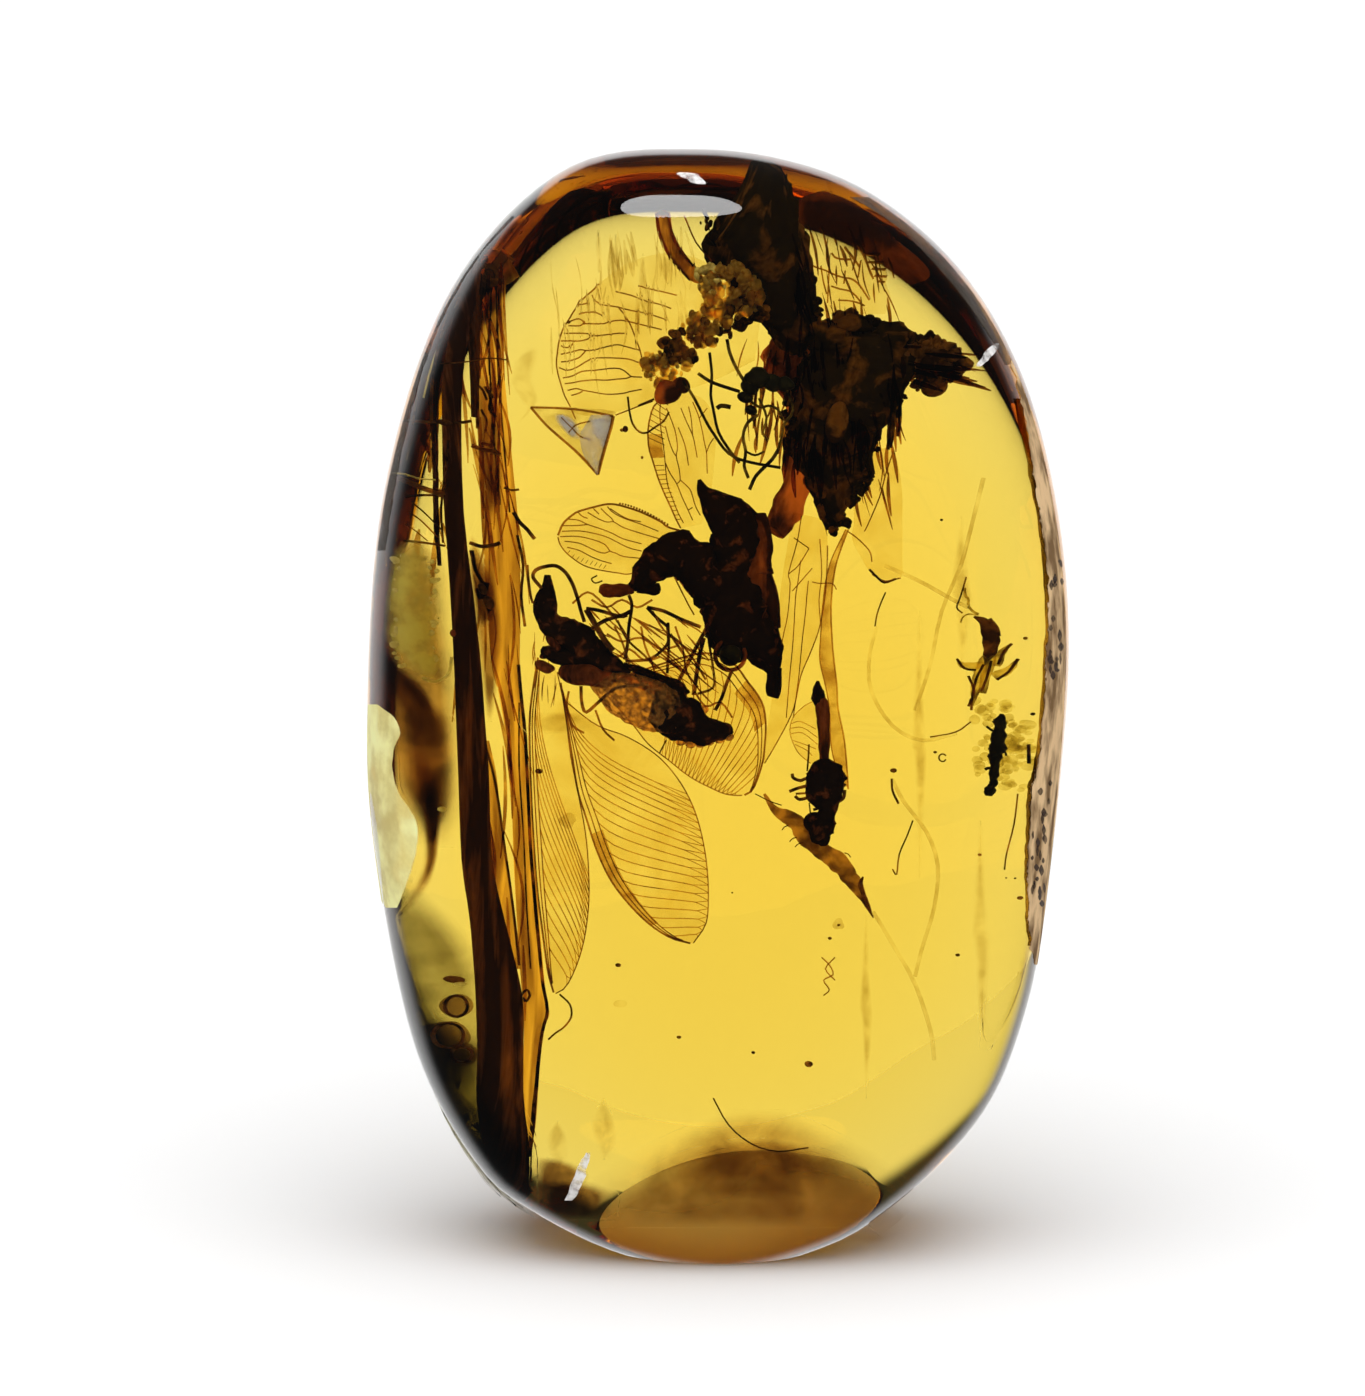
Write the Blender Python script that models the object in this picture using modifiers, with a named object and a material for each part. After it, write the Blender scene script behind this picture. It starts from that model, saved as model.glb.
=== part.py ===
"""Insect in amber: an upright polished pebble of clear amber with what it sealed in.

The pebble is parted in two halves around a snug pocket. The pocket holds three lacewings,
a gnat, a small beetle, a black-legged ant, two plant stems, bark, a crumb and other scraps.
Lengths are in millimetres until a mesh is made. The base flat rests on z = 0, the pebble
faces -Y, and an inclusion is placed by where it shows from the front and by its depth.
"""

import math

import bmesh
import bpy
import numpy as np
from mathutils import Matrix, Vector

MM = 0.001

# Pebble
TALL = 29.05
WIDE = 18.4
FRONT_DEPTH = 5.1
BACK_DEPTH = 5.2
CENTRE_UP = 14.4
AMBER_INDEX = 1.54
GIRDLE = (
    (-0.5, TALL), (2.7, 28.5), (5.0, 27.2), (6.8, 25.3), (8.1, 22.8), (8.9, 19.6), (WIDE / 2, 16.3),
    (9.0, 12.5), (8.6, 8.8), (8.2, 6.6), (7.4, 4.3), (6.2, 2.6), (4.6, 1.1), (3.0, 0.1), (0.4, -0.6),
    (-2.4, -0.2), (-4.9, 1.0), (-6.4, 2.3), (-8.0, 5.4), (-9.0, 10.5), (-WIDE / 2, 14.5), (-8.7, 20.2),
    (-7.0, 25.3), (-4.0, 28.5),
)
CURVE_STEPS = 24
FRONT_POWER = {"plain": 3.4, "left": 2.6, "top": 3.0}
BACK_POWER = {"plain": 3.0, "left": 2.4, "top": 2.0}
PEBBLE_SEGMENTS = 60
PEBBLE_RINGS = 18

# Flat ground low on the back: a point on it, and how far it faces down and to the right
FACET_PLACE = Vector((1.2, 4.0, 2.65))
FACET_DOWN = math.radians(44)
FACET_ASIDE = math.radians(6)

# Parting of the pebble and the pocket round the inclusions
PART_DEPTH = -0.4
GAP = 0.3
POCKET_MARGIN = 0.55
POCKET_VOXEL = 0.4
POCKET_TRIANGLES = 1800
SWEEP_STEP = 0.5

# Where the eye stands when the (across, up) places of the inclusions are read
EYE_UP = math.radians(10)
EYE_FAR = 160.0
AIM = Vector((-0.907, 0.0, 14.6))
AIM_ACROSS = -0.907
AIM_HIGH = 14.72

# Thickness of the wings and of the finest legs
WING_THICK = 0.12
FINE = 0.06


def clear_scene():
    """Remove the objects that the scene starts with."""
    for item in list(bpy.data.objects):
        bpy.data.objects.remove(item, do_unlink=True)


def new_collection(name):
    """Make a collection in the scene."""
    collection = bpy.data.collections.new(name)
    bpy.context.scene.collection.children.link(collection)
    return collection


def material(name, colour, roughness, transmission=0.0):
    """Make a plain Principled material."""
    made = bpy.data.materials.new(name)
    made.use_nodes = True
    shader = made.node_tree.nodes["Principled BSDF"]
    shader.inputs["Base Color"].default_value = (*colour, 1.0)
    shader.inputs["Roughness"].default_value = roughness
    shader.inputs["Metallic"].default_value = 0.0
    shader.inputs["Transmission Weight"].default_value = transmission
    shader.inputs["IOR"].default_value = AMBER_INDEX if transmission else 1.45
    return made


def new_object(name, mesh, collection):
    """Wrap a mesh in an object."""
    made = bpy.data.objects.new(name, mesh)
    collection.objects.link(made)
    return made


def as_guide(item):
    """Mark a cutter or a joined-in piece, which is no sub-part of its own."""
    item.hide_render = True
    item.display_type = "WIRE"


def closed_curve(points, steps):
    """Run a smooth closed curve through the points."""
    knots = [Vector(point) for point in points]
    count = len(knots)
    curve = []
    for index in range(count):
        before, start, end, after = (knots[(index + shift) % count] for shift in (-1, 0, 1, 2))
        for step in range(steps):
            t = step / steps
            curve.append(0.5 * (
                2 * start + (end - before) * t
                + (2 * before - 5 * start + 4 * end - after) * t ** 2
                + (3 * start - before - 3 * end + after) * t ** 3
            ))
    return curve


def girdle_reach():
    """Give the girdle's distance from the pebble's centre against the angle."""
    curve = closed_curve(GIRDLE, CURVE_STEPS)
    angles = np.array([math.atan2(point.y - CENTRE_UP, point.x) for point in curve])
    reaches = np.array([math.hypot(point.x, point.y - CENTRE_UP) for point in curve])
    order = np.argsort(angles)
    return angles[order], reaches[order]


REACH_ANGLES, REACHES = girdle_reach()


def reach(angle):
    """Give the girdle's distance from the centre at one angle."""
    return float(np.interp(angle, REACH_ANGLES, REACHES, period=2 * math.pi))


def side(front, angle):
    """Give the roundness power and the depth of the front or the back at one angle."""
    power = FRONT_POWER if front else BACK_POWER
    left = max(0.0, -math.cos(angle)) ** 2
    top = max(0.0, math.sin(angle)) ** 2
    bent = power["plain"]
    bent += left * (power["left"] - power["plain"])
    bent += top * (power["top"] - power["plain"])
    return bent, FRONT_DEPTH if front else BACK_DEPTH


def pebble_point(point):
    """Carry a point of the unit sphere to the pebble's surface."""
    angle = math.atan2(point.z, point.x)
    power, depth = side(point.y < 0, angle)
    out = math.hypot(point.x, point.z) ** (2 / power) * reach(angle)
    deep = math.copysign(abs(point.y) ** (2 / power) * depth, point.y)
    return Vector((out * math.cos(angle), deep, CENTRE_UP + out * math.sin(angle)))


def swell(point):
    """Tell how far out a point is: under 1 in the pebble and over 1 outside it."""
    across, up = point.x, point.z - CENTRE_UP
    angle = math.atan2(up, across)
    power, depth = side(point.y < 0, angle)
    return (math.hypot(across, up) / reach(angle)) ** power + (abs(point.y) / depth) ** power


def surface_normal(point):
    """Give the outward normal of the pebble's surface."""
    nudge = 0.02
    slopes = []
    for axis in range(3):
        shift = Vector((0.0, 0.0, 0.0))
        shift[axis] = nudge
        slopes.append(swell(point + shift) - swell(point - shift))
    return Vector(slopes).normalized()


def seen(across, up, depth):
    """Find the point at a depth that shows at (across, up) through the polished front."""
    right = Vector((1.0, 0.0, 0.0))
    back = Vector((0.0, -math.cos(EYE_UP), math.sin(EYE_UP)))
    rise = Vector((0.0, math.sin(EYE_UP), math.cos(EYE_UP)))
    eye = AIM + EYE_FAR * back
    ray = (across - AIM_ACROSS) * right + (up - AIM_HIGH) * rise - EYE_FAR * back
    outer = (-FRONT_DEPTH * 1.2 - eye.y) / ray.y
    inner = -eye.y / ray.y
    for _ in range(40):
        middle = (outer + inner) / 2
        if swell(eye + middle * ray) > 1:
            outer = middle
        else:
            inner = middle
    entry = eye + inner * ray
    normal = surface_normal(entry)
    ray.normalize()
    facing = -ray.dot(normal)
    ratio = 1 / AMBER_INDEX
    bend = math.sqrt(1 - ratio ** 2 * (1 - facing ** 2))
    inside = ratio * ray + (ratio * facing - bend) * normal
    return entry + inside * ((depth - entry.y) / inside.y)


def facet_normal():
    """Give the outward normal of the flat on the back."""
    level = math.cos(FACET_DOWN)
    return Vector((level * math.sin(FACET_ASIDE), level * math.cos(FACET_ASIDE), -math.sin(FACET_DOWN)))


def blank_pebble():
    """Shape the whole pebble as a bmesh, cut flat where it stands and low on its back."""
    shape = bmesh.new()
    turn = Matrix.Rotation(math.pi / 2, 4, "X")
    bmesh.ops.create_uvsphere(
        shape, u_segments=PEBBLE_SEGMENTS, v_segments=PEBBLE_RINGS, radius=1.0, matrix=turn
    )
    for vertex in shape.verts:
        vertex.co = pebble_point(vertex.co) * MM
    trim(shape, Vector((0.0, 0.0, 0.0)), Vector((0.0, 0.0, -1.0)))
    trim(shape, FACET_PLACE * MM, facet_normal())
    return shape


def trim(shape, point, outward):
    """Cut a closed bmesh with a plane and cap the cut."""
    parts = shape.verts[:] + shape.edges[:] + shape.faces[:]
    cut = bmesh.ops.bisect_plane(
        shape, geom=parts, dist=1e-8, plane_co=point, plane_no=outward, clear_outer=True
    )
    rim = [part for part in cut["geom_cut"] if isinstance(part, bmesh.types.BMEdge)]
    bmesh.ops.contextual_create(shape, geom=rim)


def amber_half(name, facing, parts, look):
    """Make the half of the pebble on one side of the parting gap."""
    shape = blank_pebble()
    edge = (PART_DEPTH - facing * -GAP / 2) * MM
    trim(shape, Vector((0.0, edge, 0.0)), Vector((0.0, -facing, 0.0)))
    bmesh.ops.recalc_face_normals(shape, faces=shape.faces)
    mesh = bpy.data.meshes.new(name)
    shape.to_mesh(mesh)
    shape.free()
    mesh.shade_smooth()
    mesh.set_sharp_from_angle(angle=math.radians(30))
    mesh.materials.append(look)
    return new_object(name, mesh, parts)


def mesh_from(item, name):
    """Turn a curve or a modified object into a welded mesh object in its place."""
    graph = bpy.context.evaluated_depsgraph_get()
    graph.update()
    mesh = bpy.data.meshes.new_from_object(item.evaluated_get(graph))
    shape = bmesh.new()
    shape.from_mesh(mesh)
    bmesh.ops.remove_doubles(shape, verts=shape.verts, dist=1e-6)
    bmesh.ops.recalc_face_normals(shape, faces=shape.faces)
    shape.to_mesh(mesh)
    shape.free()
    mesh.name = name
    made = bpy.data.objects.new(name, mesh)
    made.matrix_world = item.matrix_world
    for collection in item.users_collection:
        collection.objects.link(made)
    bpy.data.objects.remove(item, do_unlink=True)
    return made


def tube(name, stations, collection, sides=8):
    """Run a capped tube through (across, up, depth, radius) stations."""
    curve = bpy.data.curves.new(name, "CURVE")
    curve.dimensions = "3D"
    curve.bevel_depth = MM
    curve.bevel_resolution = sides // 2 - 2
    curve.use_fill_caps = True
    spline = curve.splines.new("POLY")
    spline.points.add(len(stations) - 1)
    for point, (across, up, depth, radius) in zip(spline.points, stations):
        point.co = (*(seen(across, up, depth) * MM), 1.0)
        point.radius = radius
    return mesh_from(new_object(name, curve, collection), name)


def leg(name, places, depth, collection, radius=FINE):
    """Run a thin four-sided leg or feeler through (across, up) places, dipping as it goes."""
    stations = []
    for index, (across, up) in enumerate(places):
        stations.append((across, up, depth + 0.08 * index, radius))
    return tube(name, stations, collection, sides=4)


def ball(name, place, radii, collection, spin=0.0):
    """Make an ellipsoid at (across, up, depth), turned about the line of sight."""
    shape = bmesh.new()
    bmesh.ops.create_uvsphere(shape, u_segments=10, v_segments=7, radius=1.0)
    grow = Matrix.Diagonal((*(Vector(radii) * MM), 1.0))
    turn = Matrix.Rotation(spin, 4, "Y")
    bmesh.ops.transform(shape, matrix=turn @ grow, verts=shape.verts)
    mesh = bpy.data.meshes.new(name)
    shape.to_mesh(mesh)
    shape.free()
    made = new_object(name, mesh, collection)
    made.location = seen(*place) * MM
    return made


def wing_edge(length, width, blunt, count=7):
    """Give a wing's flat outline, narrow at the root and rounded at the tip."""
    edge = []
    for index in range(count + 1):
        t = index / count
        spread = math.sin(math.pi * t ** blunt) ** 0.6 if 0 < t < 1 else 0.04 * (1 - t)
        edge.append((length * t, width / 2 * spread + 0.04))
    return edge + [(along, -half) for along, half in reversed(edge)]


def wing(name, root, tip, width, collection, blunt=0.75, roll=0.0):
    """Make a thin wing from its root to its tip, turned about its length by roll."""
    start, end = seen(*root), seen(*tip)
    length = (end - start).length
    curve = bpy.data.curves.new(name, "CURVE")
    curve.dimensions = "2D"
    curve.fill_mode = "BOTH"
    curve.extrude = WING_THICK / 2 * MM
    spline = curve.splines.new("POLY")
    edge = wing_edge(length, width, blunt)
    spline.points.add(len(edge) - 1)
    for point, (along, aside) in zip(spline.points, edge):
        point.co = (along * MM, aside * MM, 0.0, 1.0)
    spline.use_cyclic_u = True
    made = new_object(name, curve, collection)
    along = (end - start).normalized()
    aside = Vector((0.0, -1.0, 0.0)).cross(along).normalized()
    flat = along.cross(aside)
    frame = Matrix((along, aside, flat)).transposed().to_4x4()
    made.matrix_world = Matrix.Translation(start * MM) @ frame @ Matrix.Rotation(roll, 4, "X")
    bpy.context.view_layer.update()
    return mesh_from(made, name)


def fuse(name, pieces, parts, look):
    """Join overlapping pieces into one closed body."""
    body, *others = pieces
    for index, other in enumerate(others):
        union = body.modifiers.new(f"join_{index}", "BOOLEAN")
        union.operation = "UNION"
        union.solver = "EXACT"
        union.object = other
        as_guide(other)
    bpy.context.view_layer.update()
    made = mesh_from(body, name)
    for collection in list(made.users_collection):
        collection.objects.unlink(made)
    parts.objects.link(made)
    made.name = name
    for other in others:
        bpy.data.objects.remove(other, do_unlink=True)
    made.data.materials.clear()
    made.data.materials.append(look)
    made.data.shade_smooth()
    made.data.set_sharp_from_angle(angle=math.radians(40))
    return made


def single(item, name, parts, look):
    """Keep one piece as a sub-part of its own."""
    return fuse(name, [item], parts, look)


def stem_dark(parts, guides, look):
    """Long dark blade-shaped stem that widens towards the base."""
    stations = [
        (-7.0, 24.2, 0.5, 0.14), (-7.0, 21.9, 0.5, 0.15), (-6.95, 19.9, 0.4, 0.2), (-6.85, 17.8, 0.4, 0.26),
        (-6.6, 14.7, 0.3, 0.34), (-6.4, 11.3, 0.3, 0.42), (-6.1, 8.9, 0.3, 0.53), (-5.75, 6.6, 0.3, 0.68),
        (-5.55, 4.4, 0.4, 0.7), (-5.4, 2.8, 0.5, 0.5),
    ]
    return single(tube("stem", stations, guides), "stem_dark", parts, look)


def stem_pale(parts, guides, look):
    """Straighter translucent stem behind the dark one."""
    stations = [
        (-6.0, 25.0, 1.6, 0.4), (-6.0, 22.6, 1.7, 0.47), (-5.8, 19.9, 1.7, 0.45), (-5.7, 17.3, 1.8, 0.39),
        (-5.6, 15.2, 1.8, 0.34), (-5.4, 13.1, 1.8, 0.3), (-5.2, 11.0, 1.8, 0.29), (-4.9, 8.9, 1.8, 0.3),
        (-4.7, 6.8, 1.8, 0.33), (-4.8, 5.2, 1.8, 0.2), (-5.0, 3.2, 1.7, 0.13),
    ]
    return single(tube("stem", stations, guides), "stem_pale", parts, look)


def lacewing_left(parts, guides, look):
    """Dark lacewing with curled feelers, a long belly and three spread wings."""
    deep = -2.6
    pieces = [
        tube("body", [
            (-4.5, 17.95, deep, 0.14), (-4.5, 17.6, deep, 0.24), (-4.4, 17.15, deep, 0.3),
            (-4.2, 16.8, deep, 0.36), (-3.9, 16.3, deep, 0.42), (-3.6, 15.9, deep, 0.62),
            (-3.1, 15.5, deep, 0.6), (-2.7, 15.0, deep, 0.45), (-2.0, 14.4, deep, 0.56),
            (-1.4, 14.1, deep, 0.58), (-0.7, 13.9, deep, 0.45), (0.0, 13.75, deep, 0.3), (0.4, 13.8, deep, 0.12),
        ], guides),
        ball("shoulder", (-3.9, 15.9, deep), (0.95, 0.34, 0.36), guides, spin=0.15),
        wing("wing", (-4.4, 15.6, deep), (-4.2, 6.6, -2.0), 2.0, guides),
        wing("wing", (-3.9, 15.4, deep), (-0.4, 8.4, -3.1), 2.5, guides),
        wing("wing", (-2.9, 15.1, deep), (1.2, 13.2, -1.9), 2.7, guides, blunt=0.9),
        leg("feeler", [(-4.5, 17.8), (-4.75, 18.1), (-4.4, 18.25), (-3.9, 17.95), (-3.5, 16.8)], -2.8, guides),
        leg("feeler", [(-4.5, 17.1), (-4.85, 17.3), (-5.0, 18.1)], -2.7, guides),
        leg("leg", [(-3.6, 16.2), (-3.3, 17.0), (-2.3, 17.0), (-2.3, 17.5)], -3.0, guides),
        leg("leg", [(-3.5, 16.0), (-3.3, 16.5), (-2.6, 16.8), (-2.4, 15.8)], -2.9, guides),
        leg("leg", [(-2.8, 15.4), (-1.7, 15.7), (-1.3, 16.2), (-1.3, 16.8)], -2.7, guides),
        leg("leg", [(-3.5, 15.3), (-3.5, 14.4), (-2.7, 15.0)], -3.0, guides),
        leg("leg", [(-2.9, 15.4), (-1.5, 15.0), (-0.7, 14.8)], -3.0, guides),
    ]
    return fuse("lacewing_left", pieces, parts, look)


def lacewing_centre(parts, guides, look):
    """Broad dark lacewing in the middle with a crooked arm and a beaked head."""
    deep = -0.3
    pieces = [
        tube("body", [
            (-0.45, 20.45, deep, 0.12), (-0.1, 19.6, deep, 0.4), (0.4, 18.5, deep, 0.78),
            (0.75, 17.5, deep, 0.9), (0.95, 16.7, deep, 0.92), (1.2, 15.9, deep, 0.6), (1.35, 15.3, deep, 0.26),
            (1.4, 14.7, deep, 0.14),
        ], guides),
        tube("arm", [
            (0.3, 17.2, deep, 0.5), (-0.35, 18.1, deep, 0.48), (-1.0, 18.4, deep, 0.46), (-1.7, 18.2, deep, 0.36),
            (-2.1, 17.65, deep, 0.22), (-2.8, 17.5, deep, 0.16),
        ], guides),
        ball("eye", (0.3, 15.9, deep - 0.2), (0.4, 0.4, 0.4), guides),
        wing("wing", (0.2, 18.2, 0.2), (-4.2, 19.0, 0.5), 1.75, guides, blunt=0.9),
        wing("wing", (0.2, 18.3, 0.0), (-1.5, 22.5, 0.2), 1.95, guides, blunt=0.85),
        wing("wing", (2.3, 19.2, -0.6), (1.4, 12.3, -0.9), 1.3, guides, blunt=0.9),
        leg("leg", [(0.2, 16.6), (-0.4, 16.2), (-1.0, 15.2)], -0.6, guides),
        leg("leg", [(0.3, 16.2), (-0.3, 15.8), (-0.7, 14.8)], -0.8, guides),
        leg("leg", [(0.5, 15.9), (0.1, 14.8), (-0.1, 14.4)], -0.4, guides),
        leg("leg", [(0.2, 16.8), (-1.3, 17.0), (-1.2, 16.2), (-0.8, 15.7)], -0.3, guides),
    ]
    return fuse("lacewing_centre", pieces, parts, look)


def lacewing_top(parts, guides, look):
    """Third lacewing behind the bark, with a broad wing reaching left."""
    deep = 2.3
    pieces = [
        tube("body", [
            (1.5, 25.2, deep, 0.24), (1.9, 24.4, deep, 0.45), (2.2, 23.3, deep, 0.5), (2.7, 22.1, deep, 0.36),
            (2.9, 21.3, deep, 0.14),
        ], guides),
        wing("wing", (1.9, 24.3, deep), (-4.2, 23.4, 2.2), 3.3, guides, blunt=1.1),
        wing("wing", (2.1, 24.0, deep), (4.0, 26.6, 2.2), 2.0, guides, blunt=0.9),
        wing("wing", (2.6, 22.4, deep), (4.6, 17.4, 2.5), 1.7, guides, blunt=0.9),
    ]
    return fuse("lacewing_top", pieces, parts, look)


def gnat_right(parts, guides, look):
    """Small dark gnat hanging head down from one long wing."""
    deep = -2.4
    pieces = [
        tube("body", [
            (2.7, 15.1, deep, 0.12), (2.7, 14.4, deep, 0.16), (2.8, 13.6, deep, 0.17), (2.8, 13.0, deep, 0.3),
            (2.75, 12.4, deep, 0.56), (2.7, 11.9, deep, 0.36), (2.65, 11.4, deep, 0.4), (2.7, 11.0, deep, 0.2),
        ], guides),
        ball("head", (2.6, 11.5, deep), (0.42, 0.4, 0.4), guides),
        wing("wing", (3.1, 12.2, deep), (3.4, 19.2, -2.1), 0.55, guides, blunt=0.9),
        wing("wing", (2.75, 12.8, deep), (2.1, 14.9, -2.6), 0.8, guides),
        leg("leg", [(2.6, 12.7), (2.2, 12.9), (2.05, 12.5)], deep, guides),
        leg("leg", [(2.6, 12.3), (2.15, 12.4), (2.1, 12.1)], deep, guides),
        leg("leg", [(2.9, 12.5), (3.35, 12.7), (3.3, 12.3)], deep, guides),
        leg("leg", [(2.6, 12.2), (2.3, 11.9), (2.2, 11.6)], deep, guides),
    ]
    return fuse("gnat_right", pieces, parts, look)


def beetle_small(parts, guides, look):
    """Slim jointed beetle by the right side."""
    deep = -0.9
    stations = [
        (7.4, 14.35, deep, 0.08), (7.4, 14.1, deep, 0.2), (7.38, 13.6, deep, 0.2), (7.3, 13.3, deep, 0.1),
        (7.3, 13.1, deep, 0.16), (7.22, 12.85, deep, 0.09), (7.2, 12.65, deep, 0.14), (7.15, 12.4, deep, 0.09),
        (7.1, 12.2, deep, 0.05),
    ]
    pieces = [
        tube("body", stations, guides),
        leg("leg", [(7.35, 13.9), (7.05, 13.7)], deep, guides),
        leg("leg", [(7.35, 13.6), (7.65, 13.45)], deep, guides),
    ]
    return fuse("beetle_small", pieces, parts, look)


def ant_top(parts, guides, look):
    """Black long-legged ant in front of the bark."""
    deep = -2.2
    pieces = [
        tube("body", [
            (0.45, 23.55, deep, 0.12), (0.6, 23.2, deep, 0.22), (0.75, 22.75, deep, 0.16), (1.0, 22.7, deep, 0.26),
            (1.35, 22.95, deep, 0.24), (1.6, 23.0, deep, 0.1),
        ], guides),
        leg("leg", [(0.7, 22.8), (0.3, 23.0), (-0.1, 23.1)], deep, guides),
        leg("leg", [(0.6, 23.2), (0.2, 23.9)], deep, guides),
        leg("leg", [(0.7, 22.8), (0.85, 22.1), (0.9, 21.5), (0.8, 20.6)], deep, guides),
        leg("leg", [(1.1, 22.7), (1.5, 22.0), (1.4, 21.0)], deep, guides),
        leg("leg", [(1.3, 22.9), (1.8, 23.1), (2.1, 22.6)], deep, guides),
    ]
    return fuse("ant_top", pieces, parts, look)


def bark_black(parts, guides, look):
    """Black splinter of bark under the top."""
    pieces = [
        tube("bark", [
            (0.5, 27.4, 0.0, 0.9), (0.9, 26.8, 0.1, 1.02), (1.35, 26.0, 0.2, 1.0), (1.8, 25.1, 0.3, 0.8),
            (2.1, 24.4, 0.4, 0.55), (2.2, 23.9, 0.4, 0.3),
        ], guides),
        ball("knot", (0.7, 26.6, -0.2), (1.0, 0.9, 0.8), guides, spin=0.4),
    ]
    return fuse("bark_black", pieces, parts, look)


def bark_dark(parts, guides, look):
    """Ragged brown bark at the upper right with a spike below."""
    pieces = [
        tube("bark", [
            (3.5, 24.2, -0.1, 0.5), (3.7, 23.8, -0.1, 1.0), (3.5, 22.6, -0.1, 1.1), (3.25, 21.4, 0.0, 0.95),
            (3.2, 20.4, 0.2, 0.6), (3.0, 19.2, 0.3, 0.12),
        ], guides),
        tube("arm", [
            (3.8, 23.7, -0.1, 0.75), (4.7, 23.8, -0.1, 0.6), (5.3, 23.6, 0.0, 0.42), (6.1, 23.0, 0.1, 0.15),
        ], guides),
        ball("lump", (3.0, 22.6, 0.0), (0.9, 0.7, 1.1), guides, spin=0.3),
        ball("lump", (4.2, 22.7, -0.2), (0.7, 0.7, 0.8), guides),
        tube("fringe", [(4.2, 22.6, -0.2, 0.4), (4.4, 21.8, -0.1, 0.2), (4.3, 21.1, 0.0, 0.07)], guides, 6),
        tube("fringe", [(3.9, 22.4, -0.3, 0.4), (3.9, 21.6, -0.5, 0.2), (4.0, 20.8, -0.5, 0.07)], guides, 6),
    ]
    return fuse("bark_dark", pieces, parts, look)


def crumb(parts, guides, look):
    """Golden-brown crumb of resin and dust left of the bark."""
    pieces = [
        ball("crumb", (-0.1, 25.2, -1.4), (0.7, 0.5, 0.75), guides, spin=0.3),
        ball("crumb", (-0.7, 24.5, -1.3), (0.75, 0.5, 0.7), guides, spin=-0.4),
        ball("crumb", (0.4, 24.6, -1.4), (0.6, 0.45, 0.5), guides),
        ball("crumb", (-1.2, 23.6, -1.2), (0.5, 0.4, 0.75), guides, spin=0.5),
    ]
    return fuse("crumb", pieces, parts, look)


def needle(parts, guides, look):
    """Curved orange needle at the top."""
    stations = [
        (-1.4, 27.5, -1.0, 0.12), (-1.2, 26.9, -1.0, 0.18), (-0.95, 26.4, -0.7, 0.2), (-0.5, 25.95, -0.1, 0.18),
        (-0.3, 25.7, 0.2, 0.1),
    ]
    return single(tube("needle", stations, guides), "needle", parts, look)


def leaf_scrap(parts, guides, look):
    """Thin brown scrap of leaf under the gnat."""
    stations = [
        (1.3, 12.3, 0.2, 0.06), (1.9, 11.6, 0.2, 0.22), (2.7, 11.0, 0.2, 0.24), (3.5, 9.9, 0.2, 0.3),
        (3.8, 9.4, 0.2, 0.2), (4.1, 9.0, 0.2, 0.06),
    ]
    return single(tube("leaf", stations, guides, 6), "leaf_scrap", parts, look)


def seed_husk(parts, guides, look):
    """Spiky husk of a seed above the small beetle."""
    deep = 0.5
    pieces = [
        tube("blade", [
            (6.5, 17.6, deep, 0.07), (6.7, 17.1, deep, 0.14), (7.0, 16.8, deep, 0.2), (7.35, 16.4, deep, 0.24),
            (7.4, 15.9, deep, 0.22), (7.2, 15.6, deep, 0.12),
        ], guides, 6),
        tube("spike", [(7.35, 16.3, deep, 0.16), (6.8, 16.1, deep, 0.1), (6.3, 15.9, deep, 0.05)], guides, 4),
        tube("spike", [(7.35, 16.0, deep, 0.16), (7.75, 16.2, deep, 0.08)], guides, 4),
        tube("spike", [(7.3, 15.9, deep, 0.16), (8.0, 15.8, deep, 0.05)], guides, 4),
        tube("spike", [(7.3, 15.9, deep, 0.16), (7.0, 14.9, deep, 0.05)], guides, 4),
    ]
    return fuse("seed_husk", pieces, parts, look)


def swept_copies(item):
    """Give the depths at which copies of an inclusion join it to the parting plane."""
    depths = [(item.matrix_world @ vertex.co).y / MM for vertex in item.data.vertices]
    low, high = min(depths), max(depths)
    if low <= PART_DEPTH <= high:
        return [0.0]
    way = PART_DEPTH - (low if low > PART_DEPTH else high)
    count = max(1, math.ceil(abs(way) / SWEEP_STEP))
    return [way * step / count for step in range(count + 1)]


def pocket_cutter(inclusions, guides):
    """Wrap one loose skin round the inclusions and their way to the parting plane."""
    shape = bmesh.new()
    for item in inclusions:
        for shift in swept_copies(item):
            start = len(shape.verts)
            shape.from_mesh(item.data)
            shape.verts.ensure_lookup_table()
            move = Matrix.Translation((0.0, shift * MM, 0.0)) @ item.matrix_world
            bmesh.ops.transform(shape, matrix=move, verts=shape.verts[start:])
    mesh = bpy.data.meshes.new("pocket")
    shape.to_mesh(mesh)
    shape.free()
    cutter = new_object("pocket", mesh, guides)
    fatten = cutter.modifiers.new("fatten", "DISPLACE")
    fatten.strength = POCKET_MARGIN * MM
    fatten.mid_level = 0.0
    wrap = cutter.modifiers.new("wrap", "REMESH")
    wrap.mode = "VOXEL"
    wrap.voxel_size = POCKET_VOXEL * MM
    soften = cutter.modifiers.new("soften", "SMOOTH")
    soften.factor = 0.5
    soften.iterations = 3
    bpy.context.view_layer.update()
    cutter = mesh_from(cutter, "pocket")
    thin = cutter.modifiers.new("thin", "DECIMATE")
    thin.ratio = POCKET_TRIANGLES / (2 * len(cutter.data.polygons))
    bpy.context.view_layer.update()
    cutter = mesh_from(cutter, "pocket")
    as_guide(cutter)
    return cutter


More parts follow.
